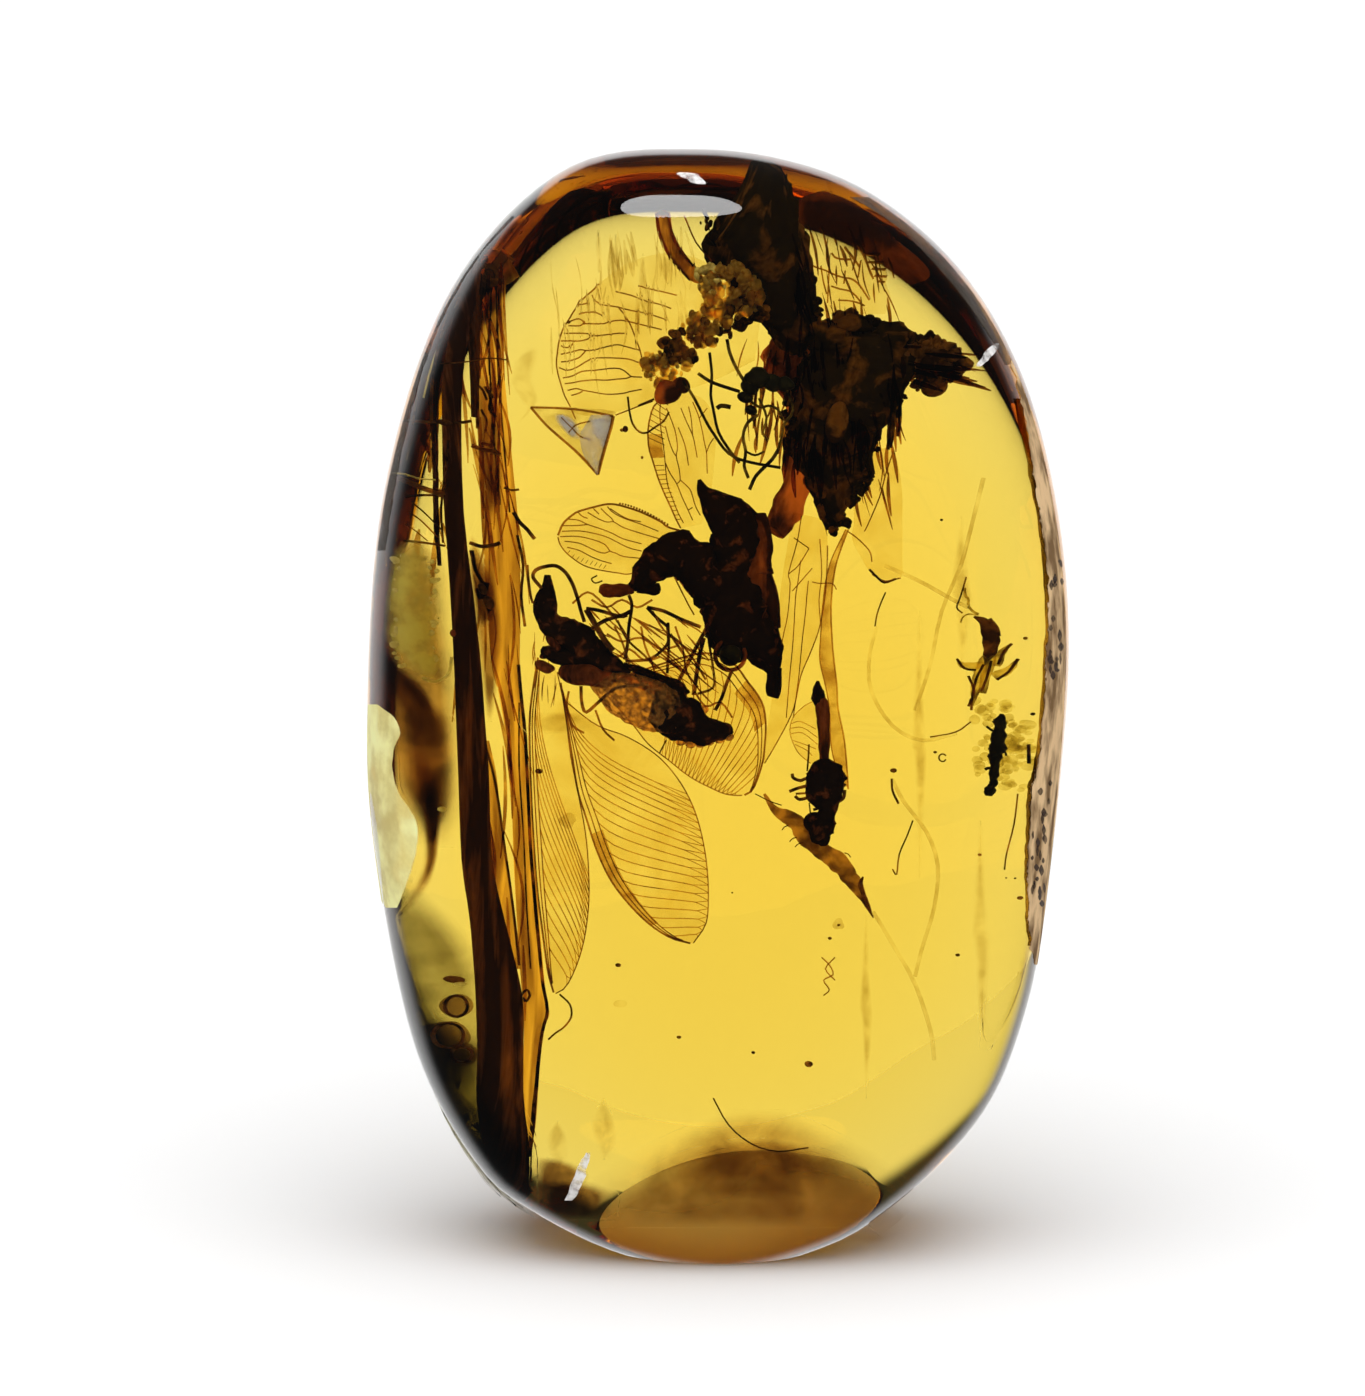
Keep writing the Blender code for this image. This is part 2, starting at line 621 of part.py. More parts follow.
def hollow(half, cutter):
    """Cut the pocket out of one half of the pebble."""
    cut = half.modifiers.new("pocket", "BOOLEAN")
    cut.operation = "DIFFERENCE"
    cut.solver = "EXACT"
    cut.object = cutter


def build():
    """Build the pebble and everything in it."""
    clear_scene()
    parts = new_collection("insect_in_amber")
    guides = new_collection("cutters")
    amber = (0.9, 0.6, 0.08)
    black_brown = (0.02, 0.01, 0.006)
    looks = [
        (stem_dark, (0.05, 0.012, 0.004), 0.4), (stem_pale, (0.45, 0.16, 0.02), 0.4),
        (lacewing_left, black_brown, 0.35), (lacewing_centre, black_brown, 0.35),
        (lacewing_top, (0.05, 0.015, 0.005), 0.4), (gnat_right, black_brown, 0.35),
        (beetle_small, (0.01, 0.01, 0.008), 0.3), (ant_top, (0.01, 0.008, 0.005), 0.3),
        (bark_black, (0.008, 0.006, 0.004), 0.8), (bark_dark, (0.04, 0.016, 0.005), 0.8),
        (crumb, (0.35, 0.16, 0.02), 0.7), (needle, (0.3, 0.09, 0.01), 0.4),
        (leaf_scrap, (0.12, 0.06, 0.015), 0.6), (seed_husk, (0.1, 0.07, 0.02), 0.6),
    ]
    inclusions = []
    for make, colour, roughness in looks:
        look = material(make.__name__, colour, roughness)
        inclusions.append(make(parts, guides, look))
    cutter = pocket_cutter(inclusions, guides)
    for name, facing in (("amber_front", -1), ("amber_back", 1)):
        half = amber_half(name, facing, parts, material(name, amber, 0.05, transmission=1.0))
        hollow(half, cutter)
    bpy.context.view_layer.update()


build()
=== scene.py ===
"""Insect in amber: a clear golden pebble with lacewings, small insects and plant scraps inside.

Lengths are in millimetres until a mesh is made. An inclusion is placed by where it shows from
the front, (across, up), and by its depth behind the pebble's middle plane.
"""

import math
import random

import bmesh
import bpy
import numpy as np
from mathutils import Matrix, Vector, noise


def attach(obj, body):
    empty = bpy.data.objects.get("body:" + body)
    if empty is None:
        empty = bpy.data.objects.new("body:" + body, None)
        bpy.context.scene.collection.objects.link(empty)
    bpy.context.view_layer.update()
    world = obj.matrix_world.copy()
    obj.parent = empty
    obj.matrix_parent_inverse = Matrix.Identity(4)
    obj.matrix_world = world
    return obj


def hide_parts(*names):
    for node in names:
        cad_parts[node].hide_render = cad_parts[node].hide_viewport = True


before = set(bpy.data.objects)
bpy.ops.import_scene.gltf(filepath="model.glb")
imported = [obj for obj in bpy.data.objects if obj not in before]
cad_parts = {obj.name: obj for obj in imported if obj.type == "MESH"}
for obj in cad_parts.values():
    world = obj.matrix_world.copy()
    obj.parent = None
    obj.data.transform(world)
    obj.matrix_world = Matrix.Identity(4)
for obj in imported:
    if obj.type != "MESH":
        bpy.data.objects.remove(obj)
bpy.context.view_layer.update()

MM = 0.001

# Pebble
TALL = 29.05
WIDE = 18.4
FRONT_DEPTH = 5.1
BACK_DEPTH = 5.2
CENTRE_UP = 14.4
AMBER_INDEX = 1.54
AMBER_TINT = (0.964, 0.835, 0.04)
AMBER_DENSITY = 280.0
GROUND_ROUGHNESS = 0.45
GIRDLE = (
    (-0.5, TALL), (2.7, 28.5), (5.0, 27.2), (6.8, 25.3), (8.1, 22.8), (8.9, 19.6), (WIDE / 2, 16.3),
    (9.0, 12.5), (8.6, 8.8), (8.2, 6.6), (7.4, 4.3), (6.2, 2.6), (4.6, 1.1), (3.0, 0.1), (0.4, -0.6),
    (-2.4, -0.2), (-4.9, 1.0), (-6.4, 2.3), (-8.0, 5.4), (-9.0, 10.5), (-WIDE / 2, 14.5), (-8.7, 20.2),
    (-7.0, 25.3), (-4.0, 28.5),
)
CURVE_STEPS = 24
FRONT_POWER = {"plain": 3.4, "left": 2.6, "top": 3.0}
BACK_POWER = {"plain": 3.0, "left": 2.4, "top": 2.0}
SEGMENTS = 192
RINGS = 96
SHRINK = 0.998
RIND_SHRINK = 0.9988
RIND_THICK = 0.014
RIND_LIMIT = 0.9985
VEIL_LIMIT = 0.985
LOWEST = 0.06

# Flat ground low on the back: a point on it, and how far it faces down and to the right
FACET_PLACE = Vector((1.2, 4.0, 2.65))
FACET_DOWN = math.radians(44)
FACET_ASIDE = math.radians(6)
SAME_WAY = 0.9999
FACET_EDGE = math.radians(25)

# Camera
EYE_UP = math.radians(10)
EYE_FAR = 160.0
AIM = Vector((-0.907, 0.0, 14.6))
AIM_ACROSS = -0.907
AIM_HIGH = 14.72
SENSOR = 36.0
FRAME_HIGH = 36.7

# Light
BOUNCES = 24
CLEAR_LAYERS = 48
FLOOR_SIZE = 6.0
FLOOR_TONE = (0.86, 0.86, 0.86)
BACKDROP_FULL = 0.25
BACKDROP_END = 0.45
BACKDROP_SIDE = 0.3
BACKDROP_WIDE = 0.8
BACKDROP_POWER = 1.0
SUN_POWER = 1.95
SUN_ANGLE = 85
SUN_TILT = (22, 0)
GLOW_ANGLE = 70
GLOW_TILT = (14, 0)
WORLD_POWER = 0.05
GLOW_POWER = 2.05
SHINE_POWER = 0.75
SHINE_ANGLE = 20
SHINE_TILT = (17, -2)

# Inclusions
SHEET_THICK = 0.012
VEIN = 0.017
CREASE = math.radians(50)
CLEAR_INDEX = 1.01
DULL = 0.1


def spline_point(before, start, end, after, t):
    """Give the point at t between the middle two of four points of a smooth curve."""
    return 0.5 * (
        2 * start + (end - before) * t
        + (2 * before - 5 * start + 4 * end - after) * t ** 2
        + (3 * start - before - 3 * end + after) * t ** 3
    )


def closed_curve(points, steps):
    """Run a smooth closed curve through the points."""
    knots = np.array(points, float)
    count = len(knots)
    curve = []
    for index in range(count):
        four = [knots[(index + shift) % count] for shift in (-1, 0, 1, 2)]
        curve.extend(spline_point(*four, step / steps) for step in range(steps))
    return np.array(curve)


def open_curve(points, steps):
    """Run a smooth open curve through rows of numbers."""
    knots = np.array(points, float)
    padded = np.vstack([2 * knots[0] - knots[1], knots, 2 * knots[-1] - knots[-2]])
    curve = []
    for index in range(len(knots) - 1):
        four = padded[index:index + 4]
        curve.extend(spline_point(*four, step / steps) for step in range(steps))
    return np.array(curve + [knots[-1]])


def girdle_reach():
    """Give the girdle's distance from the pebble's centre against the angle."""
    curve = closed_curve(GIRDLE, CURVE_STEPS)
    angles = np.arctan2(curve[:, 1] - CENTRE_UP, curve[:, 0])
    reaches = np.hypot(curve[:, 0], curve[:, 1] - CENTRE_UP)
    order = np.argsort(angles)
    return angles[order], reaches[order]


REACH_ANGLES, REACHES = girdle_reach()


def reach(angles):
    """Give the girdle's distance from the centre at each angle."""
    return np.interp(angles, REACH_ANGLES, REACHES, period=2 * math.pi)


def side(front, angles):
    """Give the roundness power and the depth of the front or the back at each angle."""
    left = np.clip(-np.cos(angles), 0, None) ** 2
    top = np.clip(np.sin(angles), 0, None) ** 2
    bent = []
    for power in (FRONT_POWER, BACK_POWER):
        plain = power["plain"]
        bent.append(plain + left * (power["left"] - plain) + top * (power["top"] - plain))
    return np.where(front, bent[0], bent[1]), np.where(front, FRONT_DEPTH, BACK_DEPTH)


def pebble_points(points):
    """Carry points of the unit sphere to the pebble's surface."""
    x, y, z = np.array(points, float).T
    angles = np.arctan2(z, x)
    powers, depths = side(y < 0, angles)
    out = np.hypot(x, z) ** (2 / powers) * reach(angles)
    deep = np.copysign(np.abs(y) ** (2 / powers) * depths, y)
    return np.stack([out * np.cos(angles), deep, CENTRE_UP + out * np.sin(angles)], axis=1)


def swell(points):
    """Tell how far out each point is: under 1 in the pebble and over 1 outside it."""
    x, y, z = points.T
    angles = np.arctan2(z - CENTRE_UP, x)
    powers, depths = side(y < 0, angles)
    return (np.hypot(x, z - CENTRE_UP) / reach(angles)) ** powers + (np.abs(y) / depths) ** powers


def surface_normals(points):
    """Give the outward normals of the pebble's surface."""
    nudge = 0.02
    slopes = []
    for shift in np.eye(3) * nudge:
        slopes.append(swell(points + shift) - swell(points - shift))
    return unit(np.stack(slopes, axis=1))


def unit(vectors):
    """Scale vectors to length one."""
    return vectors / np.maximum(np.linalg.norm(vectors, axis=-1, keepdims=True), 1e-9)


def rim(up, way):
    """Give how far across the pebble reaches at each height, to the left or to the right."""
    curve = closed_curve(GIRDLE, CURVE_STEPS)
    half = curve[curve[:, 0] * way > 0]
    half = half[np.argsort(half[:, 1])]
    return np.interp(up, half[:, 1], half[:, 0])


def entered(across, up):
    """Find where the camera's rays through (across, up) meet the front, the rays and the normals there."""
    back = np.array((0.0, -math.cos(EYE_UP), math.sin(EYE_UP)))
    rise = np.array((0.0, math.sin(EYE_UP), math.cos(EYE_UP)))
    right = np.array((1.0, 0.0, 0.0))
    eye = np.array(AIM) + EYE_FAR * back
    rays = np.outer(across - AIM_ACROSS, right) + np.outer(up - AIM_HIGH, rise) - EYE_FAR * back
    outer = (-FRONT_DEPTH * 1.2 - eye[1]) / rays[:, 1]
    inner = -eye[1] / rays[:, 1]
    for _ in range(32):
        middle = (outer + inner) / 2
        outside = swell(eye + middle[:, None] * rays) > 1
        outer = np.where(outside, middle, outer)
        inner = np.where(outside, inner, middle)
    entries = eye + inner[:, None] * rays
    return entries, unit(rays), surface_normals(entries)


def seen(places):
    """Find the points that show at (across, up) through the polished front, each at its depth."""
    across, up, depth = np.array(places, float).T
    entries, rays, normals = entered(across, up)
    facing = -np.sum(rays * normals, axis=1)
    ratio = 1 / AMBER_INDEX
    bend = np.sqrt(1 - ratio ** 2 * (1 - facing ** 2))
    inside = ratio * rays + (ratio * facing - bend)[:, None] * normals
    return entries + inside * ((depth - entries[:, 1]) / inside[:, 1])[:, None]


def bumps(points, grain, seed=0.0):
    """Give smooth noise between -1 and 1 at each point, with grain waves a millimetre."""
    return np.array([noise.noise(Vector(point) * grain + Vector((seed, 0, 0))) for point in points])


class Shape:
    """Points and faces gathered for one mesh."""

    def __init__(self):
        self.points = []
        self.faces = []
        self.fades = []

    def add(self, points, faces, fades=None):
        """Add points and the faces between them, with how strongly each point shows."""
        start = len(self.points)
        self.points.extend(map(tuple, points))
        self.fades.extend(np.ones(len(points)) if fades is None else fades)
        self.faces.extend(tuple(start + corner for corner in face) for face in faces)

    def tube(self, stations, sides=8, steps=4, flat=1.0, rough=0.0, grain=3.0):
        """Run a closed tube through (across, up, depth, radius) stations."""
        rows = open_curve(stations, steps)
        centres = seen(rows[:, :3])
        radii = np.clip(rows[:, 3], 0.004, None)
        ways = unit(np.gradient(centres, axis=0))
        asides = unit(np.cross(ways, (0.0, 1.0, 0.0)))
        deeps = np.cross(ways, asides) * flat
        turns = np.arange(sides) * 2 * math.pi / sides
        spokes = (
            np.cos(turns)[None, :, None] * asides[:, None] + np.sin(turns)[None, :, None] * deeps[:, None]
        )
        points = centres[:, None] + spokes * radii[:, None, None]
        if rough:
            ragged = bumps(points.reshape(-1, 3), grain).reshape(len(rows), sides, 1)
            ragged += 0.5 * bumps(points.reshape(-1, 3), 2.7 * grain, 7.0).reshape(len(rows), sides, 1)
            points += spokes * radii[:, None, None] * rough * ragged
        faces = []
        for ring in range(len(rows) - 1):
            for turn in range(sides):
                after = (turn + 1) % sides
                low, high = ring * sides, (ring + 1) * sides
                faces.append((low + turn, high + turn, high + after, low + after))
        faces.append(tuple(range(sides)))
        faces.append(tuple(reversed(range((len(rows) - 1) * sides, len(rows) * sides))))
        self.add(points.reshape(-1, 3), faces)

    def line(self, places, depth, radius=VEIN, sides=5, steps=3):
        """Run a thin thread through (across, up) places at one depth."""
        self.tube([(*place, depth, radius) for place in places], sides=sides, steps=steps)

    def lines(self, depth, strides):
        """Run a thread for each (radius, place, place, ...) at one depth."""
        for radius, *places in strides:
            self.line(places, depth, radius)

    def limb(self, depth, stations, **how):
        """Run a tube through (across, up, radius) stations at one depth."""
        self.tube([(across, up, depth, radius) for across, up, radius in stations], **how)

    def lump(self, place, radii, spin=0.0, rough=0.25, grain=2.0, rings=10, turns=14):
        """Make an uneven ellipsoid at (across, up, depth), turned about the line of sight."""
        points = [(0.0, 0.0, 1.0)]
        for ring in range(1, rings):
            tilt = math.pi * ring / rings
            for turn in range(turns):
                around = 2 * math.pi * turn / turns
                points.append((
                    math.sin(tilt) * math.cos(around), math.sin(tilt) * math.sin(around), math.cos(tilt)
                ))
        points = np.array(points + [(0.0, 0.0, -1.0)])
        centre = seen([place])[0]
        ragged = bumps(points * np.array(radii) + centre, grain)
        points = points * np.array(radii) * (1 + rough * ragged)[:, None]
        turned = np.array(Matrix.Rotation(spin, 3, "Y")) @ points.T
        last = len(points) - 1
        faces = []
        for turn in range(turns):
            after = (turn + 1) % turns
            faces.append((0, 1 + turn, 1 + after))
            faces.append((last, last - turns + after, last - turns + turn))
            for ring in range(rings - 2):
                low, high = 1 + ring * turns, 1 + (ring + 1) * turns
                faces.append((low + turn, high + turn, high + after, low + after))
        self.add(turned.T + centre, faces)

    def sheet(self, grid, thick=SHEET_THICK, fades=None):
        """Make a thin closed sheet from a grid of points, fading as told."""
        rows, columns = grid.shape[:2]
        flow = unit(np.cross(np.gradient(grid, axis=0), np.gradient(grid, axis=1))) * thick / 2
        points = np.concatenate([(grid + flow).reshape(-1, 3), (grid - flow).reshape(-1, 3)])
        back = rows * columns
        faces = []
        for row in range(rows - 1):
            for column in range(columns - 1):
                spot = row * columns + column
                corners = (spot, spot + 1, spot + columns + 1, spot + columns)
                faces.append(corners)
                faces.append(tuple(back + corner for corner in reversed(corners)))
        border = list(range(columns))
        border += [row * columns + columns - 1 for row in range(1, rows)]
        border += [(rows - 1) * columns + column for column in range(columns - 2, -1, -1)]
        border += [row * columns for row in range(rows - 2, 0, -1)]
        for index, spot in enumerate(border):
            after = border[(index + 1) % len(border)]
            faces.append((spot, back + spot, back + after, after))
        self.add(points, faces, None if fades is None else np.tile(fades.ravel(), 2))

    def ribbon(self, rows, deep, thick=0.1, bow=0.1, steps=4, columns=7, soft=False):
        """Make a bowed strip from (up, left, right) rows at one depth, with soft edges where asked."""
        line = open_curve(rows, steps)
        share = np.linspace(0, 1, columns)
        across = line[:, 1, None] + (line[:, 2] - line[:, 1])[:, None] * share
        up = np.repeat(line[:, :1], columns, axis=1)
        across = np.clip(across, VEIL_LIMIT * rim(up, -1), VEIL_LIMIT * rim(up, 1))
        depth = deep - bow * np.sin(math.pi * share)[None] + np.zeros_like(up)
        places = np.stack([across, up, depth], axis=-1).reshape(-1, 3)
        ends = np.linspace(0, 1, len(line))[:, None]
        fades = np.clip(1.5 * np.sin(math.pi * share)[None] * np.sin(math.pi * ends) ** 0.6, 0, 1) ** 1.5
        spots = seen(places)
        spots[:, 2] = np.maximum(spots[:, 2], LOWEST)
        self.sheet(spots.reshape(len(line), columns, 3), thick, fades if soft else None)

    def rind(self, rows, steps=4, columns=7, ragged=0.05, proud=0.0):
        """Lay a strip from (up, left, right) rows on the pebble's front, with ragged inner edges."""
        line = open_curve(rows, steps)
        share = np.linspace(0, 1, columns)
        for column in (1, 2):
            edge = np.column_stack([line[:, column], line[:, 0], np.zeros(len(line))])
            line[:, column] += ragged * (bumps(edge, 4.0) + 0.6 * bumps(edge, 11.0, 3.0))
        up = np.repeat(line[:, :1], columns, axis=1)
        low, high = RIND_LIMIT * rim(up, -1), RIND_LIMIT * rim(up, 1)
        left, right = np.clip(line[:, 1, None], low, high), np.clip(line[:, 2, None], low, high)
        across = left + (right - left) * share
        spots = entered(across.ravel(), up.ravel())[0]
        middle = np.array((0.0, 0.0, CENTRE_UP))
        spots = middle + (spots - middle) * RIND_SHRINK + surface_normals(spots) * proud
        self.sheet(spots.reshape(len(line), columns, 3), RIND_THICK)

    def mesh(self, name, look):
        """Turn the shape into a smooth mesh with its material."""
        mesh = bpy.data.meshes.new(name)
        mesh.from_pydata([[value * MM for value in point] for point in self.points], [], self.faces)
        shape = bmesh.new()
        shape.from_mesh(mesh)
        bmesh.ops.recalc_face_normals(shape, faces=shape.faces)
        shape.to_mesh(mesh)
        shape.free()
        mesh.shade_smooth()
        mesh.set_sharp_from_angle(angle=CREASE)
        mesh.attributes.new("fade", "FLOAT", "POINT").data.foreach_set("value", np.array(self.fades, "f"))
        mesh.materials.append(look)
        return mesh


class Wing:
    """A wing between its leading and trailing edges, both from root to tip in (across, up)."""

    def __init__(self, leading, trailing, root_deep, tip_deep, billow=0.15):
        self.leading = open_curve(leading, 6)
        self.trailing = open_curve(trailing, 6)
        self.deeps = (root_deep, tip_deep)
        self.billow = billow

    def edge(self, curve, along):
        """Find the points part of the way along an edge."""
        steps = np.linalg.norm(np.diff(curve, axis=0), axis=1)
        run = np.concatenate([[0.0], np.cumsum(steps)])
        run /= run[-1]
        return np.stack([np.interp(along, run, curve[:, axis]) for axis in range(2)], axis=1)

    def place(self, along, aside):
        """Give (across, up, depth) for shares along the wing and across it."""
        along = np.clip(np.atleast_1d(np.array(along, float)), 0, 1)
        aside = np.clip(np.atleast_1d(np.array(aside, float)), 0, 1)
        front, rear = self.edge(self.leading, along), self.edge(self.trailing, along)
        flat = front + (rear - front) * aside[:, None]
        return np.column_stack([flat, self.deep(along, aside)])

    def deep(self, along, aside):
        """Give the depth of a wing's point, with a soft billow."""
        plain = self.deeps[0] + (self.deeps[1] - self.deeps[0]) * along
        return plain + self.billow * np.sin(math.pi * along) * np.sin(math.pi * aside)

    def membrane(self, shape, rows=36, columns=14):
        """Add the wing's clear skin."""
        along, aside = np.meshgrid(np.linspace(0, 1, rows), np.linspace(0, 1, columns), indexing="ij")
        spots = seen(self.place(along.ravel(), aside.ravel()))
        shape.sheet(spots.reshape(rows, columns, 3))

    def patch(self, shape, along, aside, rows=16, columns=5):
        """Add a stain over part of the wing, just in front of its skin."""
        first, second = np.meshgrid(np.linspace(*along, rows), np.linspace(*aside, columns), indexing="ij")
        places = self.place(first.ravel(), second.ravel())
        places[:, 2] -= 2 * SHEET_THICK
        shape.sheet(seen(places).reshape(rows, columns, 3))

    def vein(self, shape, along, aside, radius=VEIN, sides=5):
        """Add a vein through shares along the wing and across it."""
        places = self.place(along, aside)
        shape.tube(np.column_stack([places, np.full(len(places), radius)]), sides=sides, steps=1)

    def border(self, shape, lead=1.6 * VEIN, trail=VEIN):
        """Add the veins round the wing's edges."""
        run = np.linspace(0, 1, 40)
        self.vein(shape, run, np.zeros(40), lead)
        self.vein(shape, run, np.ones(40), trail)

    def rungs(self, shape, start, end, count, width, slant=0.0, radius=0.6 * VEIN):
        """Add a ladder of short veins between the leading edge and the vein beside it."""
        for step in range(count):
            along = start + (end - start) * step / (count - 1)
            self.vein(shape, np.linspace(along, along + slant, 3), np.linspace(0, width, 3), radius, 4)

    def comb(self, shape, count, start, end, sweep, stem, fork_at=0.8, spread=0.012, radius=0.8 * VEIN):
        """Add veins that leave the stem vein, sweep to the trailing edge and fork there."""
        for step in range(count):
            share = step / (count - 1)
            base = start + (end - start) * share
            reach_on = base + sweep * (1 - base)
            t = np.linspace(0, 1, 14)
            along = base + (reach_on - base) * t ** 0.75
            aside = stem + (1 - stem) * t
            kept = t <= fork_at
            self.vein(shape, along[kept], aside[kept], radius, 4)
            for way in (-1, 1):
                forked = along[~kept] + way * spread * np.linspace(0, 1, np.sum(~kept) + 1)[1:]
                self.vein(
                    shape, np.concatenate([along[kept][-1:], forked]),
                    np.concatenate([aside[kept][-1:], aside[~kept]]), 0.75 * radius, 4
                )


def new_material(name, colour=(0.8, 0.8, 0.8), roughness=0.5, **sockets):
    """Make a Principled material and give it with its node tree and shader."""
    made = bpy.data.materials.new(name)
    made.use_nodes = True
    tree = made.node_tree
    shader = tree.nodes["Principled BSDF"]
    shader.inputs["Base Color"].default_value = (*colour, 1.0)
    shader.inputs["Roughness"].default_value = roughness
    for socket, value in sockets.items():
        shader.inputs[socket.replace("_", " ")].default_value = value
    return made, tree, shader


def grain_noise(tree, scale, stretch=(1.0, 1.0, 1.0), detail=6.0, distortion=0.0):
    """Give noise with scale waves a millimetre, drawn out along an axis by its stretch."""
    place = tree.nodes.new("ShaderNodeTexCoord")
    sized = tree.nodes.new("ShaderNodeMapping")
    sized.inputs["Scale"].default_value = [1.0 / (MM * longer) for longer in stretch]
    cloud = tree.nodes.new("ShaderNodeTexNoise")
    cloud.inputs["Scale"].default_value = scale
    cloud.inputs["Detail"].default_value = detail
    cloud.inputs["Distortion"].default_value = distortion
    tree.links.new(place.outputs["Object"], sized.inputs["Vector"])
    tree.links.new(sized.outputs["Vector"], cloud.inputs["Vector"])
    return cloud.outputs["Fac"]


def colour_run(tree, value, *stops):
    """Carry a value to colours through (position, colour) stops."""
    ramp = tree.nodes.new("ShaderNodeValToRGB")
    ramp.color_ramp.elements.remove(ramp.color_ramp.elements[1])
    ramp.color_ramp.elements[0].position = stops[0][0]
    ramp.color_ramp.elements[0].color = (*stops[0][1], 1.0)
    for position, colour in stops[1:]:
        ramp.color_ramp.elements.new(position).color = (*colour, 1.0)
    tree.links.new(value, ramp.inputs["Fac"])
    return ramp.outputs["Color"]


def ramp_between(tree, value, low, high, start=0.0, end=1.0):
    """Smoothly carry a value between two limits to a range."""
    step = tree.nodes.new("ShaderNodeMapRange")
    step.interpolation_type = "SMOOTHSTEP"
    for socket, number in zip(("From Min", "From Max", "To Min", "To Max"), (low, high, start, end)):
        step.inputs[socket].default_value = number
    tree.links.new(value, step.inputs["Value"])
    return step.outputs["Result"]


def multiply(tree, first, second):
    """Multiply two node values."""
    made = tree.nodes.new("ShaderNodeMath")
    made.operation = "MULTIPLY"
    tree.links.new(first, made.inputs[0])
    tree.links.new(second, made.inputs[1])
    return made.outputs[0]


def bumpy(tree, shader, value, height):
    """Raise the surface by a value, with its height in millimetres."""
    bump = tree.nodes.new("ShaderNodeBump")
    bump.inputs["Distance"].default_value = height * MM
    tree.links.new(value, bump.inputs["Height"])
    tree.links.new(bump.outputs["Normal"], shader.inputs["Normal"])


def mottled(name, dark, light, scale, stretch=(1, 1, 1), edge=(0.4, 0.6), bump=0.03, roughness=0.6):
    """Opaque matter mottled between two colours."""
    made, tree, shader = new_material(name, dark, roughness, Specular_IOR_Level=DULL)
    cloud = grain_noise(tree, scale, stretch)
    tree.links.new(colour_run(tree, cloud, (edge[0], dark), (edge[1], light)), shader.inputs["Base Color"])
    bumpy(tree, shader, cloud, bump)
    return made


def tissue(name, dark, light, scale, stretch=(1, 1, 1), edge=(0.4, 0.6), clear=(0.2, 0.9), roughness=0.5):
    """Part see-through matter: light where clear, dark where dense."""
    made, tree, shader = new_material(name, dark, roughness, Specular_IOR_Level=DULL, IOR=CLEAR_INDEX)
    cloud = grain_noise(tree, scale, stretch, distortion=0.4)
    tree.links.new(colour_run(tree, cloud, (edge[0], dark), (edge[1], light)), shader.inputs["Base Color"])
    tree.links.new(ramp_between(tree, cloud, *edge, *clear), shader.inputs["Transmission Weight"])
    return made


def faded(tree):
    """Give how strongly each point of a mesh shows."""
    fade = tree.nodes.new("ShaderNodeAttribute")
    fade.attribute_name = "fade"
    return fade.outputs["Fac"]


def veil(name, dark, light, scale, edge=(0.35, 0.65), stretch=(1, 1, 1)):
    """Clear skin with a mottled tint that fades out where its mesh does."""
    made, tree, shader = new_material(name, light, 0.0, Transmission_Weight=1.0, IOR=CLEAR_INDEX)
    cloud = grain_noise(tree, scale, stretch, distortion=0.4)
    tint = colour_run(tree, cloud, (edge[0], dark), (edge[1], light))
    blend = tree.nodes.new("ShaderNodeMix")
    blend.data_type = "RGBA"
    blend.inputs[6].default_value = (1, 1, 1, 1)
    tree.links.new(faded(tree), blend.inputs[0])
    tree.links.new(tint, blend.inputs[7])
    tree.links.new(blend.outputs[2], shader.inputs["Base Color"])
    return made


def film(name, colour, thin, dense, scale, edge=(0.35, 0.65), stretch=(1, 1, 1)):
    """Thin skin that tints what is behind it."""
    made, tree, shader = new_material(name, colour, 0.5, Specular_IOR_Level=DULL)
    cloud = grain_noise(tree, scale, stretch)
    cover = multiply(tree, ramp_between(tree, cloud, *edge, thin, dense), faded(tree))
    tree.links.new(cover, shader.inputs["Alpha"])
    paler = [min(1.0, 1.6 * value) for value in colour]
    tree.links.new(colour_run(tree, cloud, (0.3, colour), (0.7, paler)), shader.inputs["Base Color"])
    return made


def amber_material(name, roughness):
    """Clear golden amber: plain transmission with absorption in the body."""
    made, tree, _ = new_material(name, (1.0, 1.0, 1.0), roughness, Transmission_Weight=1.0, IOR=AMBER_INDEX)
    absorb = tree.nodes.new("ShaderNodeVolumeAbsorption")
    absorb.inputs["Color"].default_value = (*AMBER_TINT, 1.0)
    absorb.inputs["Density"].default_value = AMBER_DENSITY
    tree.links.new(absorb.outputs["Volume"], tree.nodes["Material Output"].inputs["Volume"])
    return made


def fibres(shape, count, across, up, lean, length, deep, radius, seed):
    """Scatter fine fibres over an area, all leaning much the same way."""
    pick = random.Random(seed)
    for _ in range(count):
        left, high = pick.uniform(*across), pick.uniform(*up)
        long, turn = pick.uniform(*length), lean + pick.gauss(0, 0.1)
        bend = pick.gauss(0, 0.05) * long
        wide = pick.uniform(*radius)
        stations = []
        for share in (0.0, 0.25, 0.5, 0.75, 1.0):
            aside = math.sin(turn) * long * share + bend * math.sin(math.pi * share)
            swelling = 0.3 + 0.7 * math.sin(math.pi * share)
            stations.append((left + aside, high - math.cos(turn) * long * share, deep, wide * swelling))
        shape.tube(stations, sides=5, steps=2)


def oval(across, up, wide, high, turns):
    """Give (across, up) places round an oval at the given turns."""
    return [(across + wide * math.cos(turn), up + high * math.sin(turn)) for turn in turns]


